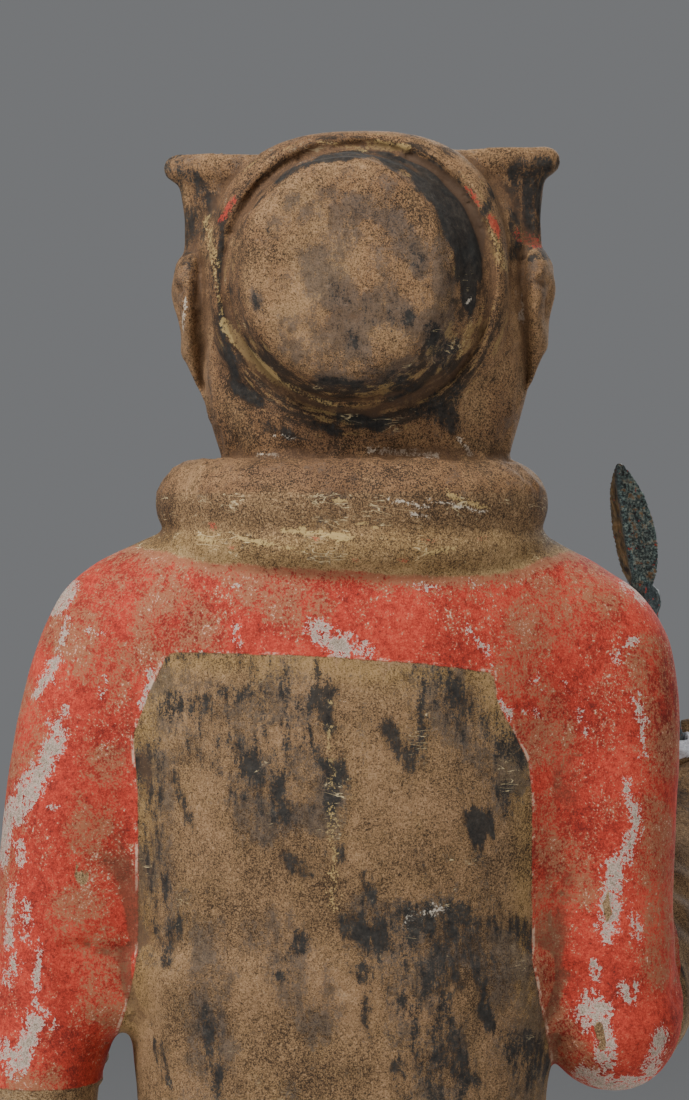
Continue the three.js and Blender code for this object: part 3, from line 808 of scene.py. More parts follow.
def brim_forms():
    def edges(turn):
        """Heights of the brim's top and foot, which part towards its wings, and how boxy it is."""
        side = np.abs(np.cos(turn))
        return 29 + 9.6 * side**2.5, 14 - 6 * side**2, by_side(turn, 1.5, 2.1)

    def wall(turn, share):
        up, wide, back, front = along(BRIM, share).T
        pole = at_pole(share)
        top, foot, square = edges(turn)
        top = np.where(pole, 29, top)
        reach = np.where(pole, 0, boxy_reach(turn, wide, by_side(turn, back, front), square))
        return ringed(turn, reach, foot + up * (top - foot), 0, 2)

    def rim(turn, section):
        thick = 1.9 + 2.3 * np.abs(np.cos(turn)) ** 8
        top, foot, square = edges(turn)
        height = 0.955 * top + 0.045 * foot + 1.7 + thick * (0.9 * np.sin(section) - 0.9)
        reach = boxy_reach(turn, 49.8, by_side(turn, 12.4, 50.1), square) + thick * (np.cos(section) - 1)
        return ringed(turn, reach, height, 0, 2)

    return [skin(220, 110, wall, HEAD_FRAME), hoop(260, 18, rim, HEAD_FRAME)]


def along_grip(start):
    """A frame on the spearhead's axis, with its flat sides turned as the blade's are."""
    return basis(FIST_MOUTH + start * SPEAR_AXIS, SPEAR_AXIS, (-0.55, -0.83, 0))


def spearhead_forms(matrix):
    socket, neck, bore = SPEAR["socket"], SPEAR["neck"], SPEAR["bore"]
    mouth, collar = SPEAR["mouth"], SPEAR["collar"]
    profile = (
        (bore, 0), (mouth, 0), (mouth - 0.3, 12), (neck, socket - 6), (neck + 0.7, socket - 4.4),
        (collar, socket - 3), (collar, socket), (neck + 0.5, socket + 1.6), (neck, socket + 3),
        (0, socket + 9), (0, 24), (bore - 1.2, 22), (bore, 0),
    )

    def blade(turn, share):
        pole = at_pole(share)
        leaf = np.where(pole, 0, np.sqrt(share) * (1 - share) ** 0.62 * 2.02)
        across = np.sign(np.cos(turn)) * np.abs(np.cos(turn)) ** 1.25
        behind = np.sin(turn) > 0
        rib = ridge(across, np.where(behind, 0.24, 0), 0.13)
        thick = (0.45 * (1 - np.abs(across)) ** 0.8 + 0.55 * rib) * SPEAR["rib"] * np.sqrt(leaf)
        x = SPEAR["width"] * leaf * across - 0.9 * np.sin(math.pi * share)
        return np.stack([x, np.where(behind, thick, -thick), socket + SPEAR["blade"] * share], 1)

    return [turned(profile, 64, matrix), skin(72, 90, blade, matrix)]


def packing_form(matrix):
    width, seat, bore = PACKING_WIDTH, SPEAR["mouth"], SPEAR["bore"]
    rows = (
        (0, -24), (3.2, -23.4), (4.7, -20), (5.3, -16), (5.3, 0), (width - 0.8, 1.6), (width, 3),
        (width - 0.3, 4.8), (6.2, 5.6), (seat + 0.4, 4.2), (seat + 0.3, 0.5), (bore - 0.3, 0.5),
        (bore - 0.9, 12), (0, 14),
    )
    steps = np.linspace(0, len(rows) - 1, 6 * (len(rows) - 1) + 1)
    profile = list(zip(*(np.interp(steps, range(len(rows)), column) for column in zip(*rows))))

    def twisted(points):
        x, y, z = points.T
        radius, turn = np.hypot(x, y), np.arctan2(y, x)
        outer = (radius > 5.2) * ease(-1, 2, z)
        fold = 0.5 + 0.5 * np.sin(9 * turn + 1.3 * z + 1.5 * np.sin(3 * turn))
        drawn_in = 1 - outer * (0.09 * fold + 0.05 * (1 + lumps(points + 60, 2.2, 41)))
        return np.stack([x * drawn_in, y * drawn_in, z + 0.35 * outer * np.sin(5 * turn + 1)], 1)

    return turned(profile, 120, matrix, twisted)


def belt_hook_form():
    rows = ((-9, -39.6, WAIST, 2.6, 3), (2, -40.6, WAIST, 2.8, 3.6), (13, -39.6, WAIST + 0.5, 2.6, 2.2))
    return limb(20, 20, rows, (0, 1, 0))


# ---- Carving -------------------------------------------------------------------------------------
def carve_cloth(points, normals):
    """Folds, hems and seams of the robe and sleeves, bindings round the lower legs and the soles of the boots.
    """
    x, y, z = points.T
    push = np.zeros(len(points))
    trunk = (np.abs(x) < 60) & (z > ARMPIT) & (z < 500)
    # soft valleys where the sleeves meet the back
    push += -0.5 * ridge(x, 50, 3.5) * ease(374, 400, z) * ease(452, 436, z) * (y > 10) * trunk
    # hems of the sleeves
    end = left_sleeve_end(y, z)
    push += np.where((x > 56) & (y > -16) & (z > 340), 0.35 * ridge(end, 0, 0.9), 0)
    # cloth gathered in the crook of the right arm
    arm = (x < -52) & (y < 0) & (y > -52) & (z > 368) & (z < 425)
    path = -y * 0.62 + (z - 385) * 0.5
    push += np.where(arm, 0.8 * np.sin(path * 0.62 + 0.4) * ridge(y, -22, 14), 0)
    end = right_sleeve_end(y, z)
    push += np.where((x < -76) & (z > 366) & (z < 436), -0.9 * ridge(end, 0, 1.1), 0)
    # cloth of the left forearm
    fore = (x > 56) & (y < -10) & (y > -56) & (z < 380)
    push += np.where(fore, 0.5 * np.sin(-y * 0.5 + x * 0.12) * ridge(y, -26, 16), 0)
    # bindings round the lower legs
    calf = (z < 112) & (z > BOOT_TOP)
    push += np.where(calf, 0.45 * np.sin((z + 0.25 * x) * 2 * math.pi / 7.5), 0)
    # sole of the boots
    foot = (z > BASE["height"] + 0.5) & (z < 34)
    push += np.where(foot, -0.7 * ridge(z - BASE["height"], 4.2, 0.8), 0)
    return points + normals * push[:, None]


def carve_head(points, normals):
    """Groove, tool strokes, ear folds, nostrils and the parting of the lips."""
    local = moved(points, HEAD_FROM_WORLD)
    x, y, z = local.T
    on_head = (points[:, 2] > NECK) & (np.hypot(x, y) < 75)
    push = np.zeros(len(points))
    radius, around = bulge_reach(x, y, z)
    back = y > 18
    # strokes left by the tool that turned the groove and the bulge's sides
    wall = ridge(radius, 30.5, 4.2) * back
    push += wall * (0.32 * np.sin(radius * 2.9 + 2.4 * np.sin(around * 2 + 1)) + 0.5 * lumps(points, 5, 4))
    push -= 0.9 * ridge(radius, 33.2, 1.2) * back * (y < 30)
    # shallow dents and swellings of the flat end
    push += np.where(back & (radius < 29), 0.75 * lumps(points, 12, 5) + 0.2 * lumps(points, 3.2, 6), 0)
    # the ears stand off the skull behind, with a fold inside the rim
    lean = np.zeros(len(points))
    for way in (1, -1):
        slot = ridge(way * x, 40.2, 1.5) * ease(3, 7, y) * ease(-26, -18, z) * ease(15, 9, z)
        lean += 4.2 * slot
        concha = bell(y - 4.5, z + 0.5, 3.2, 6) * (way * x > 43.2)
        rim = ridge(np.hypot((y - 4) / 7, (z - 0.5) / 12), 0.98, 0.17) * (way * x > 41)
        push += 0.7 * rim - 2 * concha
        pit = ridge(np.hypot(way * x - 45.2, z - 4.5), 0, 1.5) * (y > 6)
        push += -1.6 * pit
    # rough nape and clotted soil round the ears
    nape = ease(-20, -30, z) * (y > 5) + 0.6 * (np.abs(x) > 38) * (z < 10) * (y > 4)
    push += np.clip(nape, 0, 1) * (0.5 * lumps(points, 2.3, 8) + 0.25 * lumps(points, 5, 9))
    # nostrils, and the parting of the lips
    for way in (1, -1):
        push += -1.2 * bell(x - way * 2.6, z + 18.4, 1.2, 0.9) * (y < -42)
    push += -0.8 * bell(x, z + 28.3, 8.5, 0.6) * (y < -36)
    carved = points + normals * (push * on_head)[:, None]
    forward = HEAD_FRAME[:3, :3] @ np.array([0, -1, 0])
    return carved + (lean * on_head)[:, None] * forward


def wear(points, normals):
    """Uneven hand-made surface and pits."""
    push = 0.3 * lumps(points, 26, 11) + 0.16 * lumps(points, 9, 12) + 0.07 * lumps(points, 3.4, 13)
    pits = np.clip(lumps(points, 2.6, 14) - 0.62, 0, 1)
    push -= 1.1 * pits
    return points + normals * push[:, None]


# ---- Paint ---------------------------------------------------------------------------------------
# Painted borders and marks are laid out in millimetres on an upright sheet through the figure's middle:
# sideways place, height, and for a mark both its ends, its half width and, where it isn't 1, its strength.
BACK_PANEL = (
    (45.5, 469.5), (25, 469), (5, 468.2), (-17.5, 466.7), (-36.2, 464.2), (-36.7, 457.5), (-44.5, 442.5),
    (-45.5, 432.5), (-45.5, 392.5), (-49.5, 372), (-58, 312), (62, 312), (58, 374.5), (56, 380), (53, 395),
    (53, 432), (54.2, 448.7), (50, 460),
)
FRONT_PANEL = (
    (36, 466), (20, 462), (-20, 462), (-36, 466), (-44, 440), (-46, 400), (-50, 372), (-58, 312), (62, 312),
    (52, 372), (48, 400), (46, 440),
)
YOKE_EDGE = (
    (-90, 500), (-53, 493), (-49, 491.7), (-40, 488.2), (-30, 487), (-17, 487.5), (12, 489), (35, 490.5),
    (46, 493), (55.5, 495.5), (90, 502),
)
LOSSES = (
    (69.5, 485.5, 73.5, 480, 1.7), (71, 478, 72, 472, 0.5), (73.5, 467, 78, 459, 1.3),
    (70, 456, 75, 450.5, 0.8), (72.5, 449, 77, 441, 2.3), (77, 441, 84, 429, 2.8),
    (86, 426, 87.5, 416, 1.5), (82.5, 422, 82, 416, 0.8), (75, 431, 74, 430.5, 0.9),
    (50, 464, 52, 455.5, 1.1), (47, 465, 46.5, 464, 0.7), (61.5, 463, 62.5, 455.5, 0.5),
    (66, 475, 62.5, 474.5, 0.5), (61, 448, 60, 446, 0.5), (28, 486, 28, 485.5, 0.6),
    (8.5, 475.5, 2, 470, 2.9), (-1, 473, -5, 469.5, 1.4), (4, 484, 1, 483.5, 0.4),
    (29, 477, 28.5, 470, 0.5), (38, 470.5, 36, 470.2, 0.4), (84.5, 410, 85.5, 396, 1),
    (81, 407, 81, 398, 0.9), (77.5, 397.5, 79, 380, 0.6), (84, 392.5, 85.5, 386.5, 1.1),
    (77, 380, 73.5, 375.5, 0.6), (79, 377, 83, 366, 2.3), (87, 371, 84, 365, 1.8),
    (-71, 472, -66.5, 468, 1), (-71.5, 458.5, -73.5, 451, 0.9), (-73, 450, -73.5, 441, 0.3),
    (-69, 436.5, -72, 426, 1.3), (-71, 425, -67, 414, 1.6), (-66, 416, -64.5, 399.5, 2.7),
    (-71, 405, -72, 398, 1), (-44.5, 454.5, -46.5, 452.5, 0.8), (-46, 464, -47.5, 459, 0.6),
    (-53, 463, -54, 462, 0.5), (-57, 457, -59, 449, 0.4), (-61, 391.5, -61.5, 388, 1.4),
    (-37, 457, -39.5, 453.5, 1.2), (-69.5, 386, -70, 383, 1.7), (-59, 382, -58, 377, 2),
    (-63, 381, -64, 367, 2.2), (-78, 374, -75, 364.5, 1.5), (-58, 364, -66, 361, 2),
    (-66, 361, -73, 362, 1.8), (-29.5, 476, -36, 467, 0.8), (-15.5, 486, -22, 485.5, 0.4),
    (-29.5, 487, -33, 485, 0.5), (-68.5, 486.5, -73.5, 482.5, 0.7),
)
DUST = (
    (72, 479, 62, 466, 6), (54, 486, 42, 474, 7), (84, 459, 82, 445, 4), (-42, 463, -49, 446, 5),
    (-47, 428, -56, 412, 4), (-46, 408, -49, 368, 3.5), (69, 403, 60, 383, 5), (82, 363, 75, 361, 3),
    (24, 486, 10, 480, 4), (-60, 484, -48, 478, 6), (-74, 470, -79, 440, 3), (-76, 430, -78, 390, 3),
    (62, 440, 66, 425, 4), (86, 440, 88, 400, 3), (-52, 372, -58, 362, 4),
)
CHIPS = (
    (42, 490, 41.5, 489.5, 1.4), (67.5, 415.5, 67, 413, 2), (-64, 409, -64.5, 403, 1.2),
    (-62, 376, -63, 371, 1.4),
)
INK = (
    (45, 457, 38, 455, 2.4), (38, 456, 29, 459, 2), (35, 450, 27, 445, 2.4, 0.75),
    (27, 443, 21, 437, 2, 0.9), (25.5, 441.5, 25, 440.5, 1.5, 1.6), (20, 437, 17, 428, 1.9),
    (17, 462, 12, 448, 2.6, 0.7), (8, 466, 5, 460, 1.6), (7, 459, 4.5, 451, 1.9, 1.6),
    (5.5, 442, 2, 437, 1.5, 1.5), (5, 435, 3.5, 429, 1.1, 1.4), (3, 424, 2.5, 416, 1),
    (17, 418, 11, 414, 1.6), (44, 438, 36, 415, 0.6), (52, 442, 50, 430, 1.3), (-9.5, 451, -15, 440, 1.5),
    (-18, 465, -18.8, 447, 1), (-23.5, 463, -29, 455, 2.2), (-31, 457, -41, 444, 2.6, 0.85),
    (-37, 438, -43, 428, 1.8, 0.6), (-32, 427.5, -33, 425, 2.1, 1.8), (-27, 438, -29, 429, 0.6),
    (-31, 422, -37, 407, 1.3, 0.5), (38, 452, 24, 436, 5, 0.62), (22, 462, 12, 436, 5, 0.55),
    (-20, 462, -38, 446, 4, 0.5), (-8, 400, -24, 362, 6, 0.55), (50, 445, 48, 395, 2.5, 0.6),
    (1, 401, -7.5, 397, 1.7, 1.4), (-13, 403, -24.5, 399, 2.5), (-8, 400, -18, 387, 3, 0.8),
    (-26, 405, -37, 401, 1.6), (-16.5, 420, -19, 412, 0.9), (-3, 414, -6, 408, 1),
    (-22, 404, -33, 393, 2.6, 0.75), (-22.5, 394, -27, 387, 2), (-39.5, 403, -44.5, 397, 1.8),
    (-32, 392, -35, 376, 1.2), (-40, 372, -44, 363, 2), (-24, 369, -31, 362, 2.2),
    (-22, 387, -26, 365, 1.6), (-45, 372, -48, 365, 2), (-15, 382, -21, 357, 1.5), (47, 411, 49, 400, 1.1),
    (43, 402, 46, 392, 1.2), (36, 379, 33, 360, 1.5), (48, 372, 46, 362, 0.9), (12, 398, 18, 388, 1.2),
    (-2, 392, -4, 372, 0.9), (46, 468, 37, 469, 0.8), (-12, 366, -16, 340, 1.4), (24, 352, 20, 330, 1.3),
    (-30, 345, -38, 325, 1.8),
)
SMOKE = (
    (44, 458, 30, 452, 6), (32, 450, 20, 430, 6), (15, 462, 8, 430, 4.5), (-22, 462, -40, 440, 5),
    (-36, 436, -36, 412, 3, 0.6), (-4, 402, -36, 396, 5), (-12, 398, -24, 360, 6), (-38, 396, -44, 362, 5),
    (50, 440, 50, 396, 4), (20, 400, 8, 380, 5), (34, 396, 36, 352, 4),
)
OCHRE = (
    (4.8, 457, 4.6, 430, 0.7), (4.6, 430, 4.2, 406, 0.9), (28, 498, 12, 495, 0.35, 1.5),
    (17, 500, 0, 498.5, 0.35, 1.6), (13, 500.6, 0, 497, 0.3, 1.4), (0, 502.5, -6, 501, 0.3, 1.4),
    (-17.5, 493.5, -27, 496, 0.4, 1.3), (38, 498.5, 34, 497, 0.5, 1.3), (4, 507.5, 1, 507.5, 0.4, 1.3),
    (-24, 509, -35, 505, 0.5, 1.2), (31.3, 551.5, 26, 544.5, 0.9, 1.4), (26, 544.5, 19, 538, 0.8, 1.4),
    (-5, 596.5, -14, 595.4, 0.8, 1.3), (-34.5, 577.5, -39, 565, 0.8), (36, 578, 33.5, 566, 0.8),
    (33.5, 563, 32, 553, 0.4), (-30, 552, -27, 543, 0.4), (8, 597, -4, 595, 0.4), (18, 537, 4, 531, 0.5),
)
CHALK = (
    (-4, 520.2, -22, 518.7, 0.55), (23, 518.8, 18, 518.8, 0.4), (-9, 508, -20, 505.5, 0.3, 1.1),
    (-20, 507.6, -33, 504.5, 0.3, 1.1), (-14, 504.5, -20, 503.2, 0.3, 1.1),
    (-29.5, 557.8, -29.5, 557.4, 0.4, 1.8), (-12, 403.8, -23.5, 404.6, 0.9), (0.7, 457, 0.2, 456, 0.8),
    (-42, 559, -43, 552, 0.5), (41, 558, 42, 550, 0.3), (-27, 523, -30, 519, 0.5), (20, 524, 14, 523, 0.4),
)
CRIMSON = (
    (32.5, 577.5, 28.5, 583, 0.5, 1.3), (-29, 586, -32.5, 581, 0.4, 1.2), (-35, 578.5, -37, 574, 0.6, 1.4),
    (-41.5, 574, -47, 571.5, 1), (34.5, 501, 34, 500.6, 0.6), (9.7, 499, 9.4, 498, 0.7),
    (-18, 497.8, -20, 497.2, 0.5), (-33, 498, -33.4, 497.8, 0.5), (-1, 492.7, -2, 492.4, 0.6),
    (30, 495.5, 29.5, 495.4, 0.5), (-13, 492.5, -16, 492.6, 0.5), (-18, 462, -18.2, 461.5, 0.6),
)
CAP_INK = (
    (-7.5, 594.6, -11.5, 591.2, 1.1, 1.5), (-14.5, 592.6, -19.5, 588.6, 1.5, 1.7),
    (-19.5, 588.2, -26, 582, 2.6, 1.9), (-25.8, 582, -29.3, 573.5, 3.1, 1.9),
    (-29.6, 573.5, -29.9, 564.5, 2.3, 1.8), (-29.7, 564.5, -29.3, 556.5, 1.2, 1.6),
    (19, 587.5, 7.5, 592.6, 0.6, 1.1), (7.5, 592.6, -5, 594.4, 0.7, 1.4), (32, 578, 32.5, 560, 0.5, 1),
    (32.3, 556, 31, 546, 0.7, 1.2), (31, 546, 28.5, 538, 0.8, 1.2), (29, 536.5, 22.5, 531.5, 0.9, 1.4),
    (4.5, 561.5, 3, 559, 1.6, 0.6), (1, 550.5, -1, 546.5, 1.2, 0.85), (-14.5, 553.5, -13.5, 552, 1, 0.9),
    (-4, 555, -10, 553, 3, 0.5), (-15.5, 571, -17, 566.5, 1.2, 0.7), (20, 575, 18, 573, 1, 0.6),
    (23.5, 558, 23, 556, 1, 0.7), (7, 537.3, -4, 536, 0.8, 1), (-20.5, 550, -24, 539, 1.6, 0.9),
    (-26, 547, -24, 538, 1, 0.9), (2, 529, -8, 526.5, 1.3, 1.4), (9, 526, 2, 524, 0.8, 1),
    (-11.5, 536, -19, 531, 2.6, 0.95), (-19, 533, -26, 527, 2.2, 0.9), (21, 526, 14.5, 523.5, 0.9),
    (-27, 536, -24, 527, 1.4, 0.8), (41.5, 588.5, 36.5, 580.5, 2.6, 1.2), (38, 580, 36.5, 572, 0.8, 1),
    (-36, 586, -33.5, 578, 1, 0.9),
)
CAP_SMOKE = (
    (9, 567, 4, 560, 3.4, 1.9), (2, 577, 3, 570, 2.6, 1.2), (-1, 581.5, -11, 578, 1.7, 1.3),
    (-11, 578, -15.5, 570, 2.2, 1.4), (-15.5, 570, -17, 566, 1.9, 1.5), (-8, 556, -1, 552, 3.2, 1.4),
    (1, 551, -2, 545.5, 2.3, 1.7), (-14, 551, -12, 554, 2.5, 1.2), (15.5, 581.5, 13.5, 583.5, 1, 1.5),
    (5, 585, 7, 584, 1.2), (24, 559, 23.5, 557, 1.2, 1.4), (17, 553, 15, 551, 1, 1.2),
    (15.5, 545.5, 13, 544, 1.6, 1.1), (7, 537.5, -4, 536, 1.4, 1.4), (-8, 538.5, -15, 541, 1.8, 1.5),
    (-23, 571, -23.5, 552, 1.8, 1.2), (-21, 552, -23, 540, 2.6, 1.5), (19, 577, 18.5, 575, 0.8, 1.3),
    (-9, 566, -10, 560, 1.4),
)


def paint_layers(points, normals, ends):
    """Per vertex: millimetres inside each painted area, and how dense each kind of mark is."""
    x, y, z = points.T
    flat = EYE["away"] / (EYE["away"] - y)
    u, w = EYE["x"] + (x - EYE["x"]) * flat, EYE["z"] + (z - EYE["z"]) * flat
    back = y > 4
    head = moved(points, HEAD_FROM_WORLD)
    hx, hy, hz = head.T
    on_head = (z > NECK) & (np.hypot(hx, hy) < 70)
    radius, around = bulge_reach(hx, hy, hz)

    yoke_line = np.interp(u, [p[0] for p in YOKE_EDGE], [p[1] for p in YOKE_EDGE])
    yoke = np.where(back, w - 1.2 - yoke_line, z - np.minimum(yoke_line, 484 + 0.2 * np.abs(x)))
    panel = np.where(back, inside(u, w, BACK_PANEL), inside(x, z, FRONT_PANEL))
    left_bare = np.maximum(left_sleeve_end(y, z), np.where(z < ARMPIT, -16 - y, -60))
    left_bare = np.where(x > 55, left_bare, -60)
    right_bare = right_sleeve_end(y, z) - 8 * ease(-70, -60, x) - 18 * ease(386, 398, z) * ease(-84, -80, x)
    right_bare = np.where((x < -48) & (z < 450), right_bare, -60)
    bare = np.maximum(left_bare, right_bare)
    robe = np.minimum(np.minimum(-0.4 * yoke, -panel), np.minimum(-bare, z - SKIRT_EDGE))

    behind = back & ~on_head
    side = ~behind & (np.abs(x) > 60)
    wild = np.clip(1.5 * lumps(points, 17, 21) + 0.8 * lumps(points, 6, 20), -1.5, 1.6)
    loss = np.where(behind | side, np.minimum(strokes(u, w, LOSSES), 0.9), 1.6 * wild - 2.4)
    chip = np.where(behind | side, strokes(u, w, CHIPS), -9)
    ink = np.where(behind, shade(u, w, INK), 0.55 * np.clip(wild, 0, 1.4))
    smoke = np.where(behind, shade(u, w, SMOKE), 0.5 * np.clip(lumps(points, 20, 22) + 0.2, 0, 1))
    ochre = np.where(back, shade(u, w, OCHRE), 0)
    chalk = np.where(back, shade(u, w, CHALK), 0)
    crimson = np.where(back, shade(u, w, CRIMSON), 0)

    dust_and_crease_light = np.where(behind | side, shade(u, w, DUST), 0.5 * np.clip(wild, 0, 1))
    # along the yoke's edge under the collar: pale dust, and painted light that lifts the crease's shade
    seam = ridge(yoke, -0.5, 2.6) * behind
    dust_and_crease_light = np.maximum(dust_and_crease_light, 1.9 * seam)

    horn = (np.abs(hx) > 37) & (hz > 10) & (hy > -8)
    cap_ink = np.where(hy > 6, shade(u, w, CAP_INK), 0)
    cap_ink = np.maximum(cap_ink, np.where(horn & (hx < 0), 1, np.where(horn, 0.62, 0)) * ease(38, 34, hz))
    cap_ink = np.maximum(cap_ink, np.where((hz > 11) & (hy < 4), 0.5 + 0.5 * wild, 0))
    aside = np.abs(hx) - 15.6
    ahead = hy < -30
    eyes = ahead & (np.hypot(aside / 8.2, (hz + 0.9) / 3.2) < 1)
    pupils = eyes & (np.hypot(aside, hz + 0.8) < 2.4)
    lashes = ahead & (np.abs(hz - 2.5 + 0.045 * aside**2) < 0.8) & (np.abs(aside) < 8.6)
    brows = (hy < -28) & (np.abs(hz - 9.4 + 0.012 * (np.abs(hx) - 17) ** 2) < 1.4)
    brows = brows & (np.abs(np.abs(hx) - 16) < 11)
    cap_ink = np.select([brows, lashes, pupils, eyes], [1.25, 1.3, 1.6, 0.1], cap_ink)
    ink = np.where(on_head, cap_ink, ink)
    disc = np.clip((28 - radius) / 2, 0, 1) * (hy > 24)
    mottle = np.clip(0.42 + 0.55 * lumps(points, 8, 31) + 0.4 * lumps(points, 3.4, 32), 0, 1) * disc
    smoke = np.where(on_head, np.where(hy > 12, np.maximum(shade(u, w, CAP_SMOKE), mottle), 0.3), smoke)
    lips = (hy < -38) & (np.abs(hz + 28.2) < 3.6) & (np.abs(hx) < 9.5)
    crimson = np.where(lips, 0.75, crimson)
    chalk = np.where(eyes & ~pupils & ~lashes, 0.85, chalk)
    boots = z < BOOT_TOP
    ink = np.where(boots & (z > BASE["height"] + 1), 0.75 + 0.3 * wild, np.where(boots, 0, ink))
    legs = (z < HEM - 2) & ~boots
    chalk = np.where(legs, 0.55 + 0.45 * wild, np.where((z < SKIRT_EDGE) & ~boots, 0.9 + 0.2 * wild, chalk))

    tone = 0.3 * lumps(points, 30, 23)
    # painted shade: the wall of the groove round the crown's bulge and the rim of its flat end are darkened,
    # more on the +x side; the nape below the bulge is darker too
    wall = ease(26, 28.5, radius) * ease(46, 35, radius) * (hy > 14) * on_head
    wall = wall * (0.75 + 0.35 * ease(5, -20, hz)) + 0.2 * disc * ease(20, 27, radius)
    head_tone = 0.1 * disc - (0.9 + 0.5 * np.cos(around)) * wall - 0.6 * ease(-24, -34, hz) - 0.3
    tone = np.where(on_head, head_tone, tone)
    tone = tone - np.where(horn | (on_head & (hy > 4) & (radius > 34) & (hx > 0)), 0.55 * ease(30, 22, hz), 0)
    sweep = np.stack([6 * np.cos(around), 6 * np.sin(around), radius], 1) / 1000
    tone = np.where(on_head & (np.abs(hx) > 39) & (hz < 12), -0.55, tone)
    tone = np.where(on_head & (hy < 0) & (hz < 10), 0.25, tone)
    collar = (z > 488) & ~on_head
    collar_tone = 0.25 * ease(499, 494, z) - 0.45 * ease(500, 506, z) + 0.2 * ease(513, 517, z) - 0.25
    tone = np.where(collar, collar_tone, tone)
    gold = np.where(collar, 0.6 * ease(506, 497, z), 0)
    gold = gold + np.where(panel > 0, 0.65 * ease(9, 0, panel) + 0.25, 0)
    scratch = np.where(collar & (z > 492), 0.45 * ease(512, 507, z), 0) + 0.3 * wall
    scratch = scratch + np.where(behind & (panel > 0), 0.22, 0)
    tone = tone - np.where(behind & (panel > 0), 0.3 * ease(6, 14, panel), 0)
    tone = tone - np.where(behind & (panel < 0) & (np.abs(x) < 62) & (z < 440), 0.8 * ease(-9, 0, panel), 0)
    # painted light along the yoke's seam, lifting the crease's shade
    tone = tone + 0.55 * seam

    # how deep each point sits in a hollow; the clay material darkens hollows with it as painted shade, less
    # along the yoke's seam
    soft = relaxed(points, ends, 14, 0.7)
    hollow = np.einsum("ij,ij->i", soft - points, normals) * (1 - 0.85 * seam)
    panel = np.where(on_head, -60, panel)
    warm = np.where(on_head, 0.9, 0.15 * collar)
    return {
        "robe": robe, "panel": panel, "loss": loss, "chip": chip, "ink": ink, "smoke": smoke, "ochre": ochre,
        "chalk": chalk, "crimson": crimson, "tone": tone, "gold": gold, "dust_and_crease_light": dust_and_crease_light, "hollow": hollow,
        "wall": wall, "sweep": sweep, "scratch": scratch, "warm": warm,
    }


def store(mesh, name, values):
    kind, part = ("FLOAT_VECTOR", "vector") if values.ndim == 2 else ("FLOAT", "value")
    attribute = mesh.attributes.new(name, kind, "POINT")
    attribute.data.foreach_set(part, np.asarray(values, np.float32).ravel())


# ---- Shader building -----------------------------------------------------------------------------
def feed(tree, socket, value):
    """Links a value to a node's input, or sets the input to it."""
    if isinstance(value, bpy.types.NodeSocket):
        tree.links.new(value, socket)
    else:
        socket.default_value = value


def put(tree, kind, inputs=None, **settings):
    """Adds a node, sets it, and feeds its inputs."""
    made = tree.nodes.new(kind)
    for key, value in settings.items():
        setattr(made, key, value)
    for key, value in (inputs or {}).items():
        feed(tree, made.inputs[key], value)
    return made


def sums(tree, operation, a, b=0.0, clamp=False):
    return put(tree, "ShaderNodeMath", {0: a, 1: b}, operation=operation, use_clamp=clamp).outputs[0]


def ramp(tree, value, low, high):
    """A smooth step of value from 0 at low to 1 at high."""
    inputs = {"Value": value, "From Min": low, "From Max": high}
    return put(tree, "ShaderNodeMapRange", inputs, interpolation_type="SMOOTHSTEP").outputs["Result"]


def times(tree, a, b):
    return sums(tree, "MULTIPLY", a, b)


def blend(tree, factor, a, b):
    return put(tree, "ShaderNodeMix", {0: factor, 6: a, 7: b}, data_type="RGBA", clamp_factor=True).outputs[2]


def noise(tree, vector, scale, detail=4.0, roughness=0.55, distortion=0.0):
    inputs = {"Vector": vector, "Scale": scale, "Detail": detail, "Roughness": roughness}
    return put(tree, "ShaderNodeTexNoise", inputs | {"Distortion": distortion}).outputs["Fac"]


RED = (182, 61, 44)
DUST_AND_CREASE_LIGHT_TAN = (140, 100, 70)


def paint(rgb):
    """A display colour of 0 to 255 parts as linear light."""
    parts = [c / 255 for c in rgb]
    return tuple(c / 12.92 if c <= 0.04045 else ((c + 0.055) / 1.055) ** 2.4 for c in parts) + (1.0,)


def centred(tree, value, amount):
    """A noise value turned to swing about 0 by the amount."""
    return times(tree, sums(tree, "SUBTRACT", value, 0.5), amount)


def total(tree, *values):
    result = values[0]
    for value in values[1:]:
        result = sums(tree, "ADD", result, value)
    return result


def masked(tree, value, low, high, factor=1.0):
    """A smooth step of the value, as strong as the factor."""
    made = ramp(tree, value, low, high)
    return made if factor == 1.0 else times(tree, made, factor)


def group(name, numbers, output):
    """An empty node group: a vector and named numbers in, and one number out."""
    tree = bpy.data.node_groups.new(name, "ShaderNodeTree")
    tree.interface.new_socket(name="Vector", in_out="INPUT", socket_type="NodeSocketVector")
    for label, default in numbers.items():
        socket = tree.interface.new_socket(name=label, in_out="INPUT", socket_type="NodeSocketFloat")
        socket.default_value = default
    tree.interface.new_socket(name=output, in_out="OUTPUT", socket_type="NodeSocketFloat")
    return tree, tree.nodes.new("NodeGroupInput").outputs, tree.nodes.new("NodeGroupOutput").inputs[output]


def border_group():
    """A ragged border: a distance with noise of two sizes added, cut to a mask."""
    numbers = {"Distance": 0.0, "Coarse Wander": 1.0, "Fine Wander": 0.5, "Coarse Scale": 200.0, "Softness": 0.3}
    tree, given, mask = group("Ragged Border", numbers, "Mask")
    coarse = noise(tree, given["Vector"], given["Coarse Scale"], 3.0, 0.6)
    fine = noise(tree, given["Vector"], times(tree, given["Coarse Scale"], 4.3), 4.0, 0.7)
    coarse = centred(tree, coarse, given["Coarse Wander"])
    fine = centred(tree, fine, given["Fine Wander"])
    edge = total(tree, given["Distance"], times(tree, total(tree, coarse, fine), 2.0))
    low = times(tree, given["Softness"], -1.0)
    tree.links.new(ramp(tree, edge, low, given["Softness"]), mask)


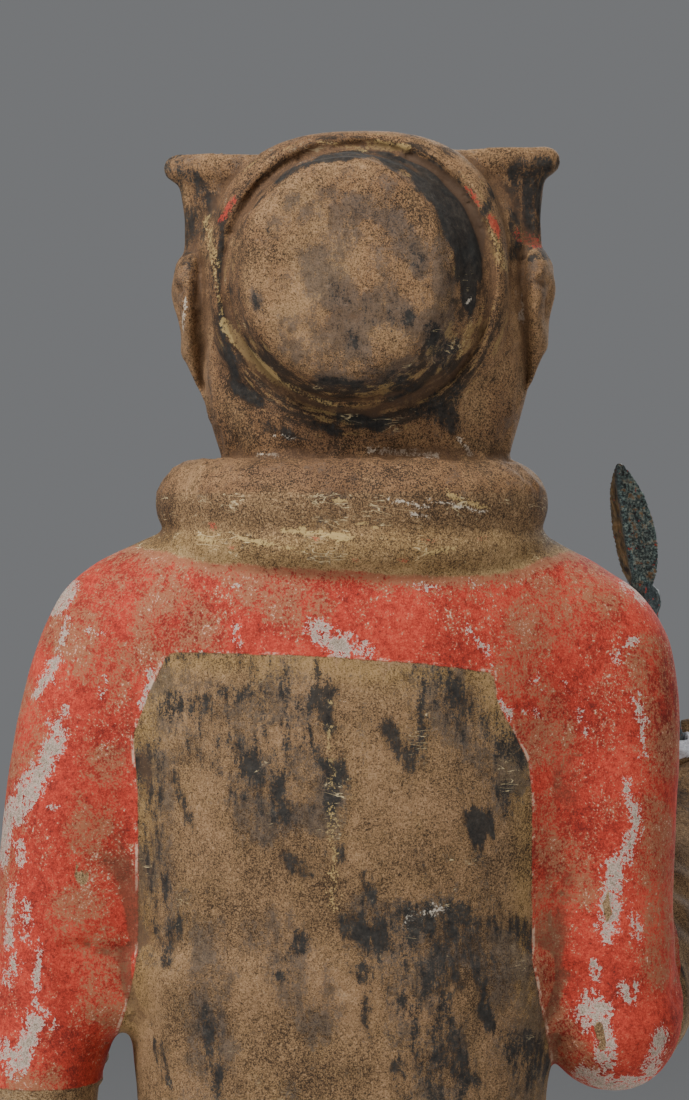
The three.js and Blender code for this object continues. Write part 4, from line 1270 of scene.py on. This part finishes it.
def grain_group():
    """Fine gritty relief with scattered pits."""
    tree, given, height = group("Gritty Grain", {"Scale": 900.0, "Pits": 0.5}, "Height")
    vector, scale = given["Vector"], given["Scale"]
    grit = noise(tree, vector, scale, 5.0, 0.7)
    broad = noise(tree, vector, times(tree, scale, 0.22), 4.0, 0.6)
    cells = {"Vector": vector, "Scale": times(tree, scale, 0.42)}
    middle = put(tree, "ShaderNodeTexVoronoi", cells, feature="F1").outputs["Distance"]
    pit = times(tree, ramp(tree, middle, 0.32, 0.12), ramp(tree, broad, 0.52, 0.66))
    relief = total(tree, times(tree, grit, 0.55), times(tree, broad, 0.8))
    tree.links.new(sums(tree, "SUBTRACT", relief, times(tree, pit, given["Pits"])), height)


def soil_and_hollow_shade_group():
    """Soil in drifting patches, and painted shade that darkens places as far as the Hollow input says."""
    tree, given, mask = group("Soil and Hollow Shade", {"Hollow": 0.0, "Amount": 0.5, "Scale": 60.0}, "Mask")
    drift = noise(tree, given["Vector"], given["Scale"], 6.0, 0.65)
    speck = noise(tree, given["Vector"], times(tree, given["Scale"], 9.0), 4.0, 0.7)
    level = total(tree, times(tree, drift, 0.7), times(tree, speck, 0.5), given["Hollow"], given["Amount"])
    tree.links.new(ramp(tree, level, 0.9, 1.3), mask)


def new_material(name):
    material = bpy.data.materials.new(name)
    material.use_nodes = True
    tree = material.node_tree
    shader = tree.nodes["Principled BSDF"]
    return material, tree, shader


def finish(tree, shader, colour, height, strength, depth):
    """Gives the shader its colour and a fine relief, depth metres deep."""
    bump = put(tree, "ShaderNodeBump", {"Height": height, "Strength": strength, "Distance": depth})
    tree.links.new(colour, shader.inputs["Base Color"])
    tree.links.new(bump.outputs["Normal"], shader.inputs["Normal"])


def placed_vector(tree, stretch=(1, 1, 1)):
    """Object coordinates, stretched to draw a pattern out along an axis."""
    place = put(tree, "ShaderNodeTexCoord").outputs["Object"]
    return put(tree, "ShaderNodeMapping", {"Vector": place, "Scale": stretch}).outputs["Vector"]


def attribute(tree, name):
    return put(tree, "ShaderNodeAttribute", attribute_name=name).outputs["Fac"]


def use(tree, groups, name, inputs):
    return put(tree, "ShaderNodeGroup", inputs, node_tree=groups[name]).outputs


def tones(tree, value, stops):
    """A colour ramp through (place, colour) stops; a colour of four parts is linear light already."""
    node = put(tree, "ShaderNodeValToRGB", {"Fac": value})
    elements = node.color_ramp.elements
    while len(elements) < len(stops):
        elements.new(0.5)
    for element, (place, colour) in zip(elements, stops):
        element.position = place
        element.color = paint(colour) if len(colour) == 3 else colour
    return node.outputs["Color"]


def clay_material(groups, looks):
    material, tree, shader = new_material("painted_clay")
    place = placed_vector(tree)
    drawn = placed_vector(tree, (1, 1, 0.24))
    # patterns from the broadest to the finest, and one drawn out downwards
    cloud = noise(tree, place, 48, 11, 0.62)
    film = noise(tree, place, 75, 12, 0.72, 0.4)
    crumb = noise(tree, place, 420, 7, 0.74)
    grit = noise(tree, place, 520, 7, 0.75)
    fleck = noise(tree, place, 1750, 4, 0.72)
    speck = noise(tree, place, 3200, 2, 0.6)
    streak = noise(tree, drawn, 380, 8, 0.76)

    def field(name):
        return attribute(tree, name)

    def swing(*pairs):
        """The sum of patterns, each swinging about 0 by its amount."""
        return total(tree, *(centred(tree, pattern, amount) for pattern, amount in pairs))

    def add(*values):
        return total(tree, *values)

    def mask(value, low, high, factor=1.0):
        return masked(tree, value, low, high, factor)

    def bordered(name, coarse, scale, softness):
        given = {"Vector": place, "Distance": field(name), "Coarse Wander": coarse, "Fine Wander": 0.4}
        given |= {"Coarse Scale": scale, "Softness": softness}
        return use(tree, groups, "Ragged Border", given)["Mask"]

    # bare clay, lighter and darker by place, with grit and a yellow wash where the gold field runs
    grains = swing((fleck, 0.95), (grit, 0.45), (speck, 0.95))
    shaded = add(centred(tree, cloud, 0.75), grains, times(tree, field("tone"), 0.13), 0.5)
    browns = [(0.24, (48, 34, 21)), (0.38, (90, 68, 44)), (0.5, (123, 96, 66)), (0.62, (146, 118, 84))]
    clay = tones(tree, shaded, browns + [(0.8, (176, 149, 112))])
    yellows = [(0.24, (54, 40, 22)), (0.4, (104, 80, 46)), (0.52, (138, 110, 68)), (0.72, (172, 144, 96))]
    gold = mask(add(field("gold"), centred(tree, film, 1.6)), 0.1, 0.9, 0.85)
    colour = blend(tree, gold, clay, tones(tree, shaded, yellows))
    panel = bordered("panel", 0.6, 170, 0.25)
    warm = times(tree, field("warm"), mask(add(film, grains), 0.4, 0.6, 0.5))
    colour = blend(tree, warm, colour, paint((146, 106, 72)))
    rosy = times(tree, panel, mask(add(cloud, grains), 0.5, 0.66, 0.3))
    colour = blend(tree, rosy, colour, paint((124, 82, 60)))

    # smoke-grey film, then flecks of black that close up where the ink field is dense
    smoke = add(times(tree, field("smoke"), 0.24), swing((film, 1.4), (streak, 0.8), (fleck, 1.2)))
    soot = tones(tree, grit, [(0.36, (50, 42, 34)), (0.62, (80, 72, 66))])
    colour = blend(tree, mask(smoke, 0.15, 0.27, 0.66), colour, soot)
    smudge = swing((streak, 1.3), (film, 0.45), (fleck, 0.9), (speck, 0.6))
    ink = mask(add(times(tree, field("ink"), 0.34), smudge), 0.27, 0.33, 0.93)

    # strokes left round the crown's groove by the tool and the brush
    sweep = put(tree, "ShaderNodeAttribute", attribute_name="sweep").outputs["Vector"]
    swept = noise(tree, sweep, 640, 6, 0.68)
    worked = times(tree, field("wall"), 0.3)
    stroke = mask(add(worked, swing((swept, 1.5), (fleck, 0.5))), 0.26, 0.4, 0.85)
    colour = blend(tree, stroke, colour, paint((40, 33, 26)))
    stroke = mask(add(worked, swing((swept, -1.6), (fleck, 0.5))), 0.36, 0.48, 0.6)
    colour = blend(tree, stroke, colour, paint((146, 120, 76)))

    # red, thin in places, with dust, lighter along the yoke's crease as painted light, white flecks and flaked
    # patches down to the pale ground
    robe = bordered("robe", 0.5, 190, 0.2)
    body = add(swing((cloud, 0.7), (grit, 0.8), (fleck, 0.6), (speck, 0.5)), 0.5)
    reds = [(0.28, (104, 28, 20)), (0.43, (150, 44, 31)), (0.57, (*looks.red, 1.0)), (0.76, (200, 92, 68))]
    red = tones(tree, body, reds)
    # dust on the red, with painted light along the yoke's crease that lifts its shade
    dust_and_crease_light = add(swing((film, 1.0), (fleck, 1.2), (grit, 0.8)), times(tree, field("dust_and_crease_light"), 0.17))
    red = blend(tree, mask(dust_and_crease_light, 0.1, 0.22, 0.8), red, (*looks.dust_and_crease_light_colour, 1.0))
    white = add(fleck, swing((film, 0.5), (grit, 0.4)))
    red = blend(tree, mask(white, 0.65, 0.69, 0.85), red, paint((212, 172, 150)))
    dark = swing((speck, -1.0), (grit, -0.8))
    red = blend(tree, mask(dark, 0.17, 0.24, 0.7), red, paint((92, 40, 28)))
    flake = add(field("loss"), swing((crumb, 8.5), (fleck, 7.0)), -0.45)
    red = blend(tree, mask(flake, -0.3, -0.05), red, paint((204, 186, 172)))
    greys = [(0.3, (98, 82, 66)), (0.5, (142, 124, 106)), (0.7, (176, 163, 148))]
    red = blend(tree, mask(flake, 0.3, 0.6), red, tones(tree, add(grains, 0.5), greys))
    chip = add(field("chip"), centred(tree, grit, 2.0))
    red = blend(tree, mask(chip, 0.1, 0.3), red, clay)
    colour = blend(tree, robe, colour, red)
    rim = times(tree, mask(field("panel"), -0.9, -0.5), mask(field("panel"), 0.1, -0.2))
    rim = times(tree, rim, mask(add(grit, centred(tree, film, 1.2)), 0.5, 0.62, 0.7))
    colour = blend(tree, rim, colour, paint((200, 172, 148)))
    black = tones(tree, grit, [(0.35, (16, 17, 18)), (0.58, (42, 41, 38)), (0.75, (78, 75, 68))])
    colour = blend(tree, times(tree, ink, sums(tree, "SUBTRACT", 1.0, robe)), colour, black)

    # thin pale scratches, mostly level
    lines = noise(tree, placed_vector(tree, (0.2, 0.2, 1)), 330, 3, 0.5, 1.2)
    lines = ramp(tree, sums(tree, "ABSOLUTE", sums(tree, "SUBTRACT", lines, 0.5)), 0.014, 0.005)
    lines = times(tree, lines, mask(add(field("scratch"), centred(tree, film, 2.4)), 0.42, 0.6, 0.8))
    colour = blend(tree, lines, colour, paint((196, 176, 134)))

    # strokes of ochre, chalky white and crimson
    for name, strength, rgb in (
        ("ochre", 0.46, (174, 148, 96)),
        ("chalk", 0.5, (192, 180, 162)),
        ("crimson", 0.46, (168, 54, 42)),
    ):
        mark = add(times(tree, field(name), strength), swing((fleck, 1.6), (grit, 1.0)))
        colour = blend(tree, mask(mark, 0.4, 0.56, 0.75), colour, paint(rgb))

    # soil in drifting patches, and painted shade darkening the hollows and creases
    hollow = times(tree, field("hollow"), 1.2)
    given = {"Vector": place, "Hollow": hollow, "Amount": 0.12, "Scale": 75}
    soil = use(tree, groups, "Soil and Hollow Shade", given)["Mask"]
    colour = blend(tree, times(tree, soil, 0.62), colour, paint((86, 62, 42)))

    grain = use(tree, groups, "Gritty Grain", {"Vector": place, "Scale": 1000, "Pits": 0.6})["Height"]
    kept = times(tree, robe, sums(tree, "SUBTRACT", 1.0, mask(flake, -0.1, 0.4)))
    height = add(times(tree, grain, 0.9), times(tree, kept, 0.5), times(tree, grit, 0.5))
    finish(tree, shader, colour, height, 0.6, 0.0004)
    rough = sums(tree, "ADD", 0.74, times(tree, grain, 0.14), clamp=True)
    tree.links.new(rough, shader.inputs["Roughness"])
    shader.inputs["Specular IOR Level"].default_value = 0.3
    return material


def bronze_material(groups):
    material, tree, shader = new_material("patinated_bronze")
    place = placed_vector(tree)
    drawn = placed_vector(tree, (1, 1, 0.2))
    crust = noise(tree, place, 1500, 6, 0.72)
    spots = noise(tree, place, 520, 5, 0.65)
    mixed = total(tree, centred(tree, crust, 1.5), centred(tree, spots, 0.7), 0.5)
    greens = [(0.3, (28, 34, 36)), (0.45, (58, 78, 78)), (0.56, (98, 124, 120)), (0.72, (156, 170, 156))]
    patina = tones(tree, mixed, greens)
    earth = tones(tree, crust, [(0.35, (70, 58, 40)), (0.6, (146, 124, 92))])
    patina = blend(tree, ramp(tree, spots, 0.56, 0.62), patina, earth)
    golds = [(0.36, (40, 34, 22)), (0.5, (96, 80, 46)), (0.66, (142, 118, 74))]
    gilding = tones(tree, noise(tree, drawn, 900, 5, 0.65), golds)
    patina = blend(tree, attribute(tree, "gilt"), patina, gilding)
    dull = tones(tree, crust, [(0.35, (22, 26, 28)), (0.65, (72, 82, 84))])
    patina = blend(tree, attribute(tree, "tarnish"), patina, dull)
    rusty = total(tree, noise(tree, place, 760, 3), times(tree, attribute(tree, "tarnish"), 0.04))
    patina = blend(tree, ramp(tree, rusty, 0.66, 0.7), patina, paint((160, 62, 50)))
    grain = use(tree, groups, "Gritty Grain", {"Vector": place, "Scale": 1900, "Pits": 0.9})["Height"]
    finish(tree, shader, patina, grain, 0.7, 0.0003)
    tree.links.new(sums(tree, "ADD", 0.42, times(tree, grain, 0.25)), shader.inputs["Roughness"])
    shader.inputs["Metallic"].default_value = 0.2
    return material


def packing_material(groups):
    material, tree, shader = new_material("packing_fibre")
    fibre = noise(tree, placed_vector(tree, (1, 1, 4)), 700, 7, 0.7, 1.5)
    tint = blend(tree, ramp(tree, fibre, 0.35, 0.65), paint((186, 189, 196)), paint((238, 240, 244)))
    given = {"Vector": placed_vector(tree), "Hollow": 0.0, "Amount": 0.08, "Scale": 200}
    soil = use(tree, groups, "Soil and Hollow Shade", given)["Mask"]
    tint = blend(tree, times(tree, soil, 0.5), tint, paint((120, 100, 80)))
    finish(tree, shader, tint, fibre, 0.8, 0.0004)
    shader.inputs["Roughness"].default_value = 0.95
    return material


def shared_groups():
    if "Ragged Border" not in bpy.data.node_groups:
        border_group()
        grain_group()
        soil_and_hollow_shade_group()
    return bpy.data.node_groups


# ---- Properties, operators and panel -------------------------------------------------------------
class WarriorLooks(bpy.types.PropertyGroup):
    grain: FloatProperty(
        name="Carving grain", description="Size of the cells that the clay is carved in", default=1.0 * MM,
        min=0.6 * MM, max=4 * MM, unit="LENGTH",
    )
    faces: IntProperty(
        name="Faces", description="Triangles left in the figure", default=192000, min=20000, max=198000
    )
    red: FloatVectorProperty(
        name="Red paint", description="Colour of the robe where its paint is whole", default=paint(RED)[:3],
        size=3, min=0, max=1, subtype="COLOR",
    )
    # the dust colour, also laid along the yoke's crease as painted light
    dust_and_crease_light_colour: FloatVectorProperty(
        name="Dust", description="Colour of the dust on the red paint", default=paint(DUST_AND_CREASE_LIGHT_TAN)[:3],
        size=3, min=0, max=1, subtype="COLOR",
    )


def add_piece(made, material, node):
    """Gives the object its material and stands it in for its solid."""
    made.data.polygons.foreach_set("use_smooth", np.ones(len(made.data.polygons), bool))
    made.data.update()
    made.data.materials.append(material)
    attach(made, "root")
    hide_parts(node)


class WARRIOR_OT_figure(bpy.types.Operator):
    """Models the clay figure from its forms, carves it and paints it"""

    bl_idname = "warrior.figure"
    bl_label = "Clay figure"

    def execute(self, context):
        looks = context.scene.warrior_looks
        forms = [robe_form(), chest_form(), skull_form(), crown_form(), base_form(), belt_hook_form()]
        forms += brim_forms() + collar_forms() + arm_forms() + leg_forms() + feature_forms()
        figure = cast(forms, "clay_figure", looks.grain)
        mesh = figure.data
        ends = edge_ends(mesh)
        points = relaxed(read_points(mesh), ends, 4, 0.5)
        armpits = bell(np.abs(points[:, 0]) - 59, points[:, 2] - 375, 8, 7)
        points = relaxed(points, ends, 40, 0.6 * armpits)
        write_points(mesh, points)
        for carve in (carve_cloth, carve_head, wear):
            write_points(mesh, carve(read_points(mesh), read_normals(mesh)))
        self.bore(mesh)
        thin = figure.modifiers.new("thin", "DECIMATE")
        thin.ratio = looks.faces / (2 * len(mesh.polygons))
        settled(figure)
        mesh = figure.data
        points, normals, ends = read_points(mesh), read_normals(mesh), edge_ends(mesh)
        for name, values in paint_layers(points, normals, ends).items():
            store(mesh, name, values)
        add_piece(figure, clay_material(shared_groups(), looks), "warrior")
        return {"FINISHED"}

    def bore(self, mesh):
        """Opens the grip's hole through the right fist and levels the underside."""
        points = read_points(mesh)
        away = points - FIST_MOUTH
        height = away @ SPEAR_AXIS
        radial = away - height[:, None] * SPEAR_AXIS
        radius = np.linalg.norm(radial, axis=1)
        wanted = np.where(height > 0, GRIP_HOLE + np.clip(height, 0, 2), GRIP_HOLE)
        near = (height > -34) & (height < 14) & (radius < wanted) & (radius > 1e-3)
        points[near] += radial[near] * ((wanted[near] - radius[near]) / radius[near])[:, None]
        points[points[:, 2] < 0.8, 2] = 0
        write_points(mesh, points)


class WARRIOR_OT_spearhead(bpy.types.Operator):
    """Casts the bronze spearhead with its socket, collar and ribbed leaf blade"""

    bl_idname = "warrior.spearhead"
    bl_label = "Bronze spearhead"

    def execute(self, context):
        place = along_grip(0.8)
        spear = cast(spearhead_forms(place), "spearhead", 0.3 * MM)
        mesh = spear.data
        points = relaxed(read_points(mesh), edge_ends(mesh), 3, 0.5)
        write_points(mesh, points)
        pits = 0.16 * lumps(points, 1.4, 51) + 0.12 * lumps(points, 0.7, 52) - 0.1
        points = points + read_normals(mesh) * pits[:, None]
        write_points(mesh, points)
        x, y, z = moved(points, np.linalg.inv(place)).T
        rib = 0.24 * SPEAR["width"] - 0.9
        on_blade = ease(SPEAR["socket"] + 2, SPEAR["socket"] + 5, z)
        store(mesh, "gilt", on_blade * ease(rib + 0.5, rib + 1.2, x) * (y > 0))
        seam = ridge(x - rib, 0.4, 0.5) * (y > 0) * on_blade
        tip = ease(SPEAR["socket"] + SPEAR["blade"] - 8, SPEAR["socket"] + SPEAR["blade"], z)
        store(mesh, "tarnish", np.clip(0.8 * (1 - on_blade) + 0.8 * seam + 0.6 * tip, 0, 0.9))
        add_piece(spear, bronze_material(shared_groups()), "bronze_spearhead")
        return {"FINISHED"}


class WARRIOR_OT_packing(bpy.types.Operator):
    """Twists the packing that wedges the spearhead in the fist"""

    bl_idname = "warrior.packing"
    bl_label = "Packing"

    def execute(self, context):
        packing = joined([packing_form(along_grip(0))], "packing")
        add_piece(packing, packing_material(shared_groups()), "white_packing")
        return {"FINISHED"}


def add_light(name, place, aim, size, power, colour=(1, 1, 1)):
    lamp = bpy.data.lights.new(name, "AREA")
    lamp.shape = "SQUARE"
    lamp.size = size
    lamp.energy = power
    lamp.color = colour
    made = bpy.data.objects.new(name, lamp)
    made.location = place
    made.rotation_euler = (Vector(aim) - Vector(place)).to_track_quat("-Z", "Y").to_euler()
    bpy.context.scene.collection.objects.link(made)


class WARRIOR_OT_stage(bpy.types.Operator):
    """Sets the floor, the soft lights and the camera behind the figure"""

    bl_idname = "warrior.stage"
    bl_label = "Stage"

    def execute(self, context):
        scene = context.scene
        form = bmesh.new()
        bmesh.ops.create_grid(form, x_segments=1, y_segments=1, size=6)
        mesh = bpy.data.meshes.new("floor")
        form.to_mesh(mesh)
        form.free()
        floor = bpy.data.objects.new("floor", mesh)
        floor.location.z = CAD_BOX[0][2] - 0.0002
        scene.collection.objects.link(floor)
        material, _, shader = new_material("pale_floor")
        shader.inputs["Base Color"].default_value = (0.62, 0.62, 0.62, 1)
        shader.inputs["Roughness"].default_value = 0.9
        mesh.materials.append(material)

        world = scene.world or bpy.data.worlds.new("studio")
        scene.world = world
        world.use_nodes = True
        world.node_tree.nodes["Background"].inputs["Color"].default_value = (0.8, 0.82, 0.85, 1)
        world.node_tree.nodes["Background"].inputs["Strength"].default_value = 0.22

        chest = (0, 0, 480 * MM)
        add_light("key", (0.55, 0.85, 1.85), chest, 0.6, 46)
        add_light("fill", (-1.5, 1.3, 0.7), chest, 1.2, 9)
        add_light("front", (-0.6, -1.6, 1.3), chest, 1.2, 26)
        add_light("left", (1.6, 0.6, 0.6), chest, 1, 8)

        lens = bpy.data.cameras.new("camera")
        lens.sensor_width = 36
        lens.lens = lens.sensor_width * EYE["away"] / EYE["wide"]
        camera = bpy.data.objects.new("camera", lens)
        camera.location = (EYE["x"] * MM, EYE["away"] * MM, EYE["z"] * MM)
        camera.rotation_euler = (math.pi / 2, 0, math.pi)
        scene.collection.objects.link(camera)
        scene.camera = camera
        return {"FINISHED"}


class WARRIOR_PT_pieces(bpy.types.Panel):
    """Lists the warrior's pieces"""

    bl_idname = "WARRIOR_PT_pieces"
    bl_label = "Painted clay warrior"
    bl_space_type = "VIEW_3D"
    bl_region_type = "UI"
    bl_category = "Warrior"

    def draw(self, context):
        for name in ("grain", "faces", "red", "dust_and_crease_light_colour"):
            self.layout.prop(context.scene.warrior_looks, name)
        for operator in PIECES:
            self.layout.operator(operator.bl_idname)


PIECES = (WARRIOR_OT_figure, WARRIOR_OT_spearhead, WARRIOR_OT_packing, WARRIOR_OT_stage)
CLASSES = (WarriorLooks, *PIECES, WARRIOR_PT_pieces)


def register():
    for made in CLASSES:
        bpy.utils.register_class(made)
    bpy.types.Scene.warrior_looks = PointerProperty(type=WarriorLooks)


def unregister():
    del bpy.types.Scene.warrior_looks
    for made in reversed(CLASSES):
        bpy.utils.unregister_class(made)


def main():
    register()
    bpy.ops.warrior.figure()
    bpy.ops.warrior.spearhead()
    bpy.ops.warrior.packing()
    bpy.ops.warrior.stage()


if __name__ == "__main__":
    main()
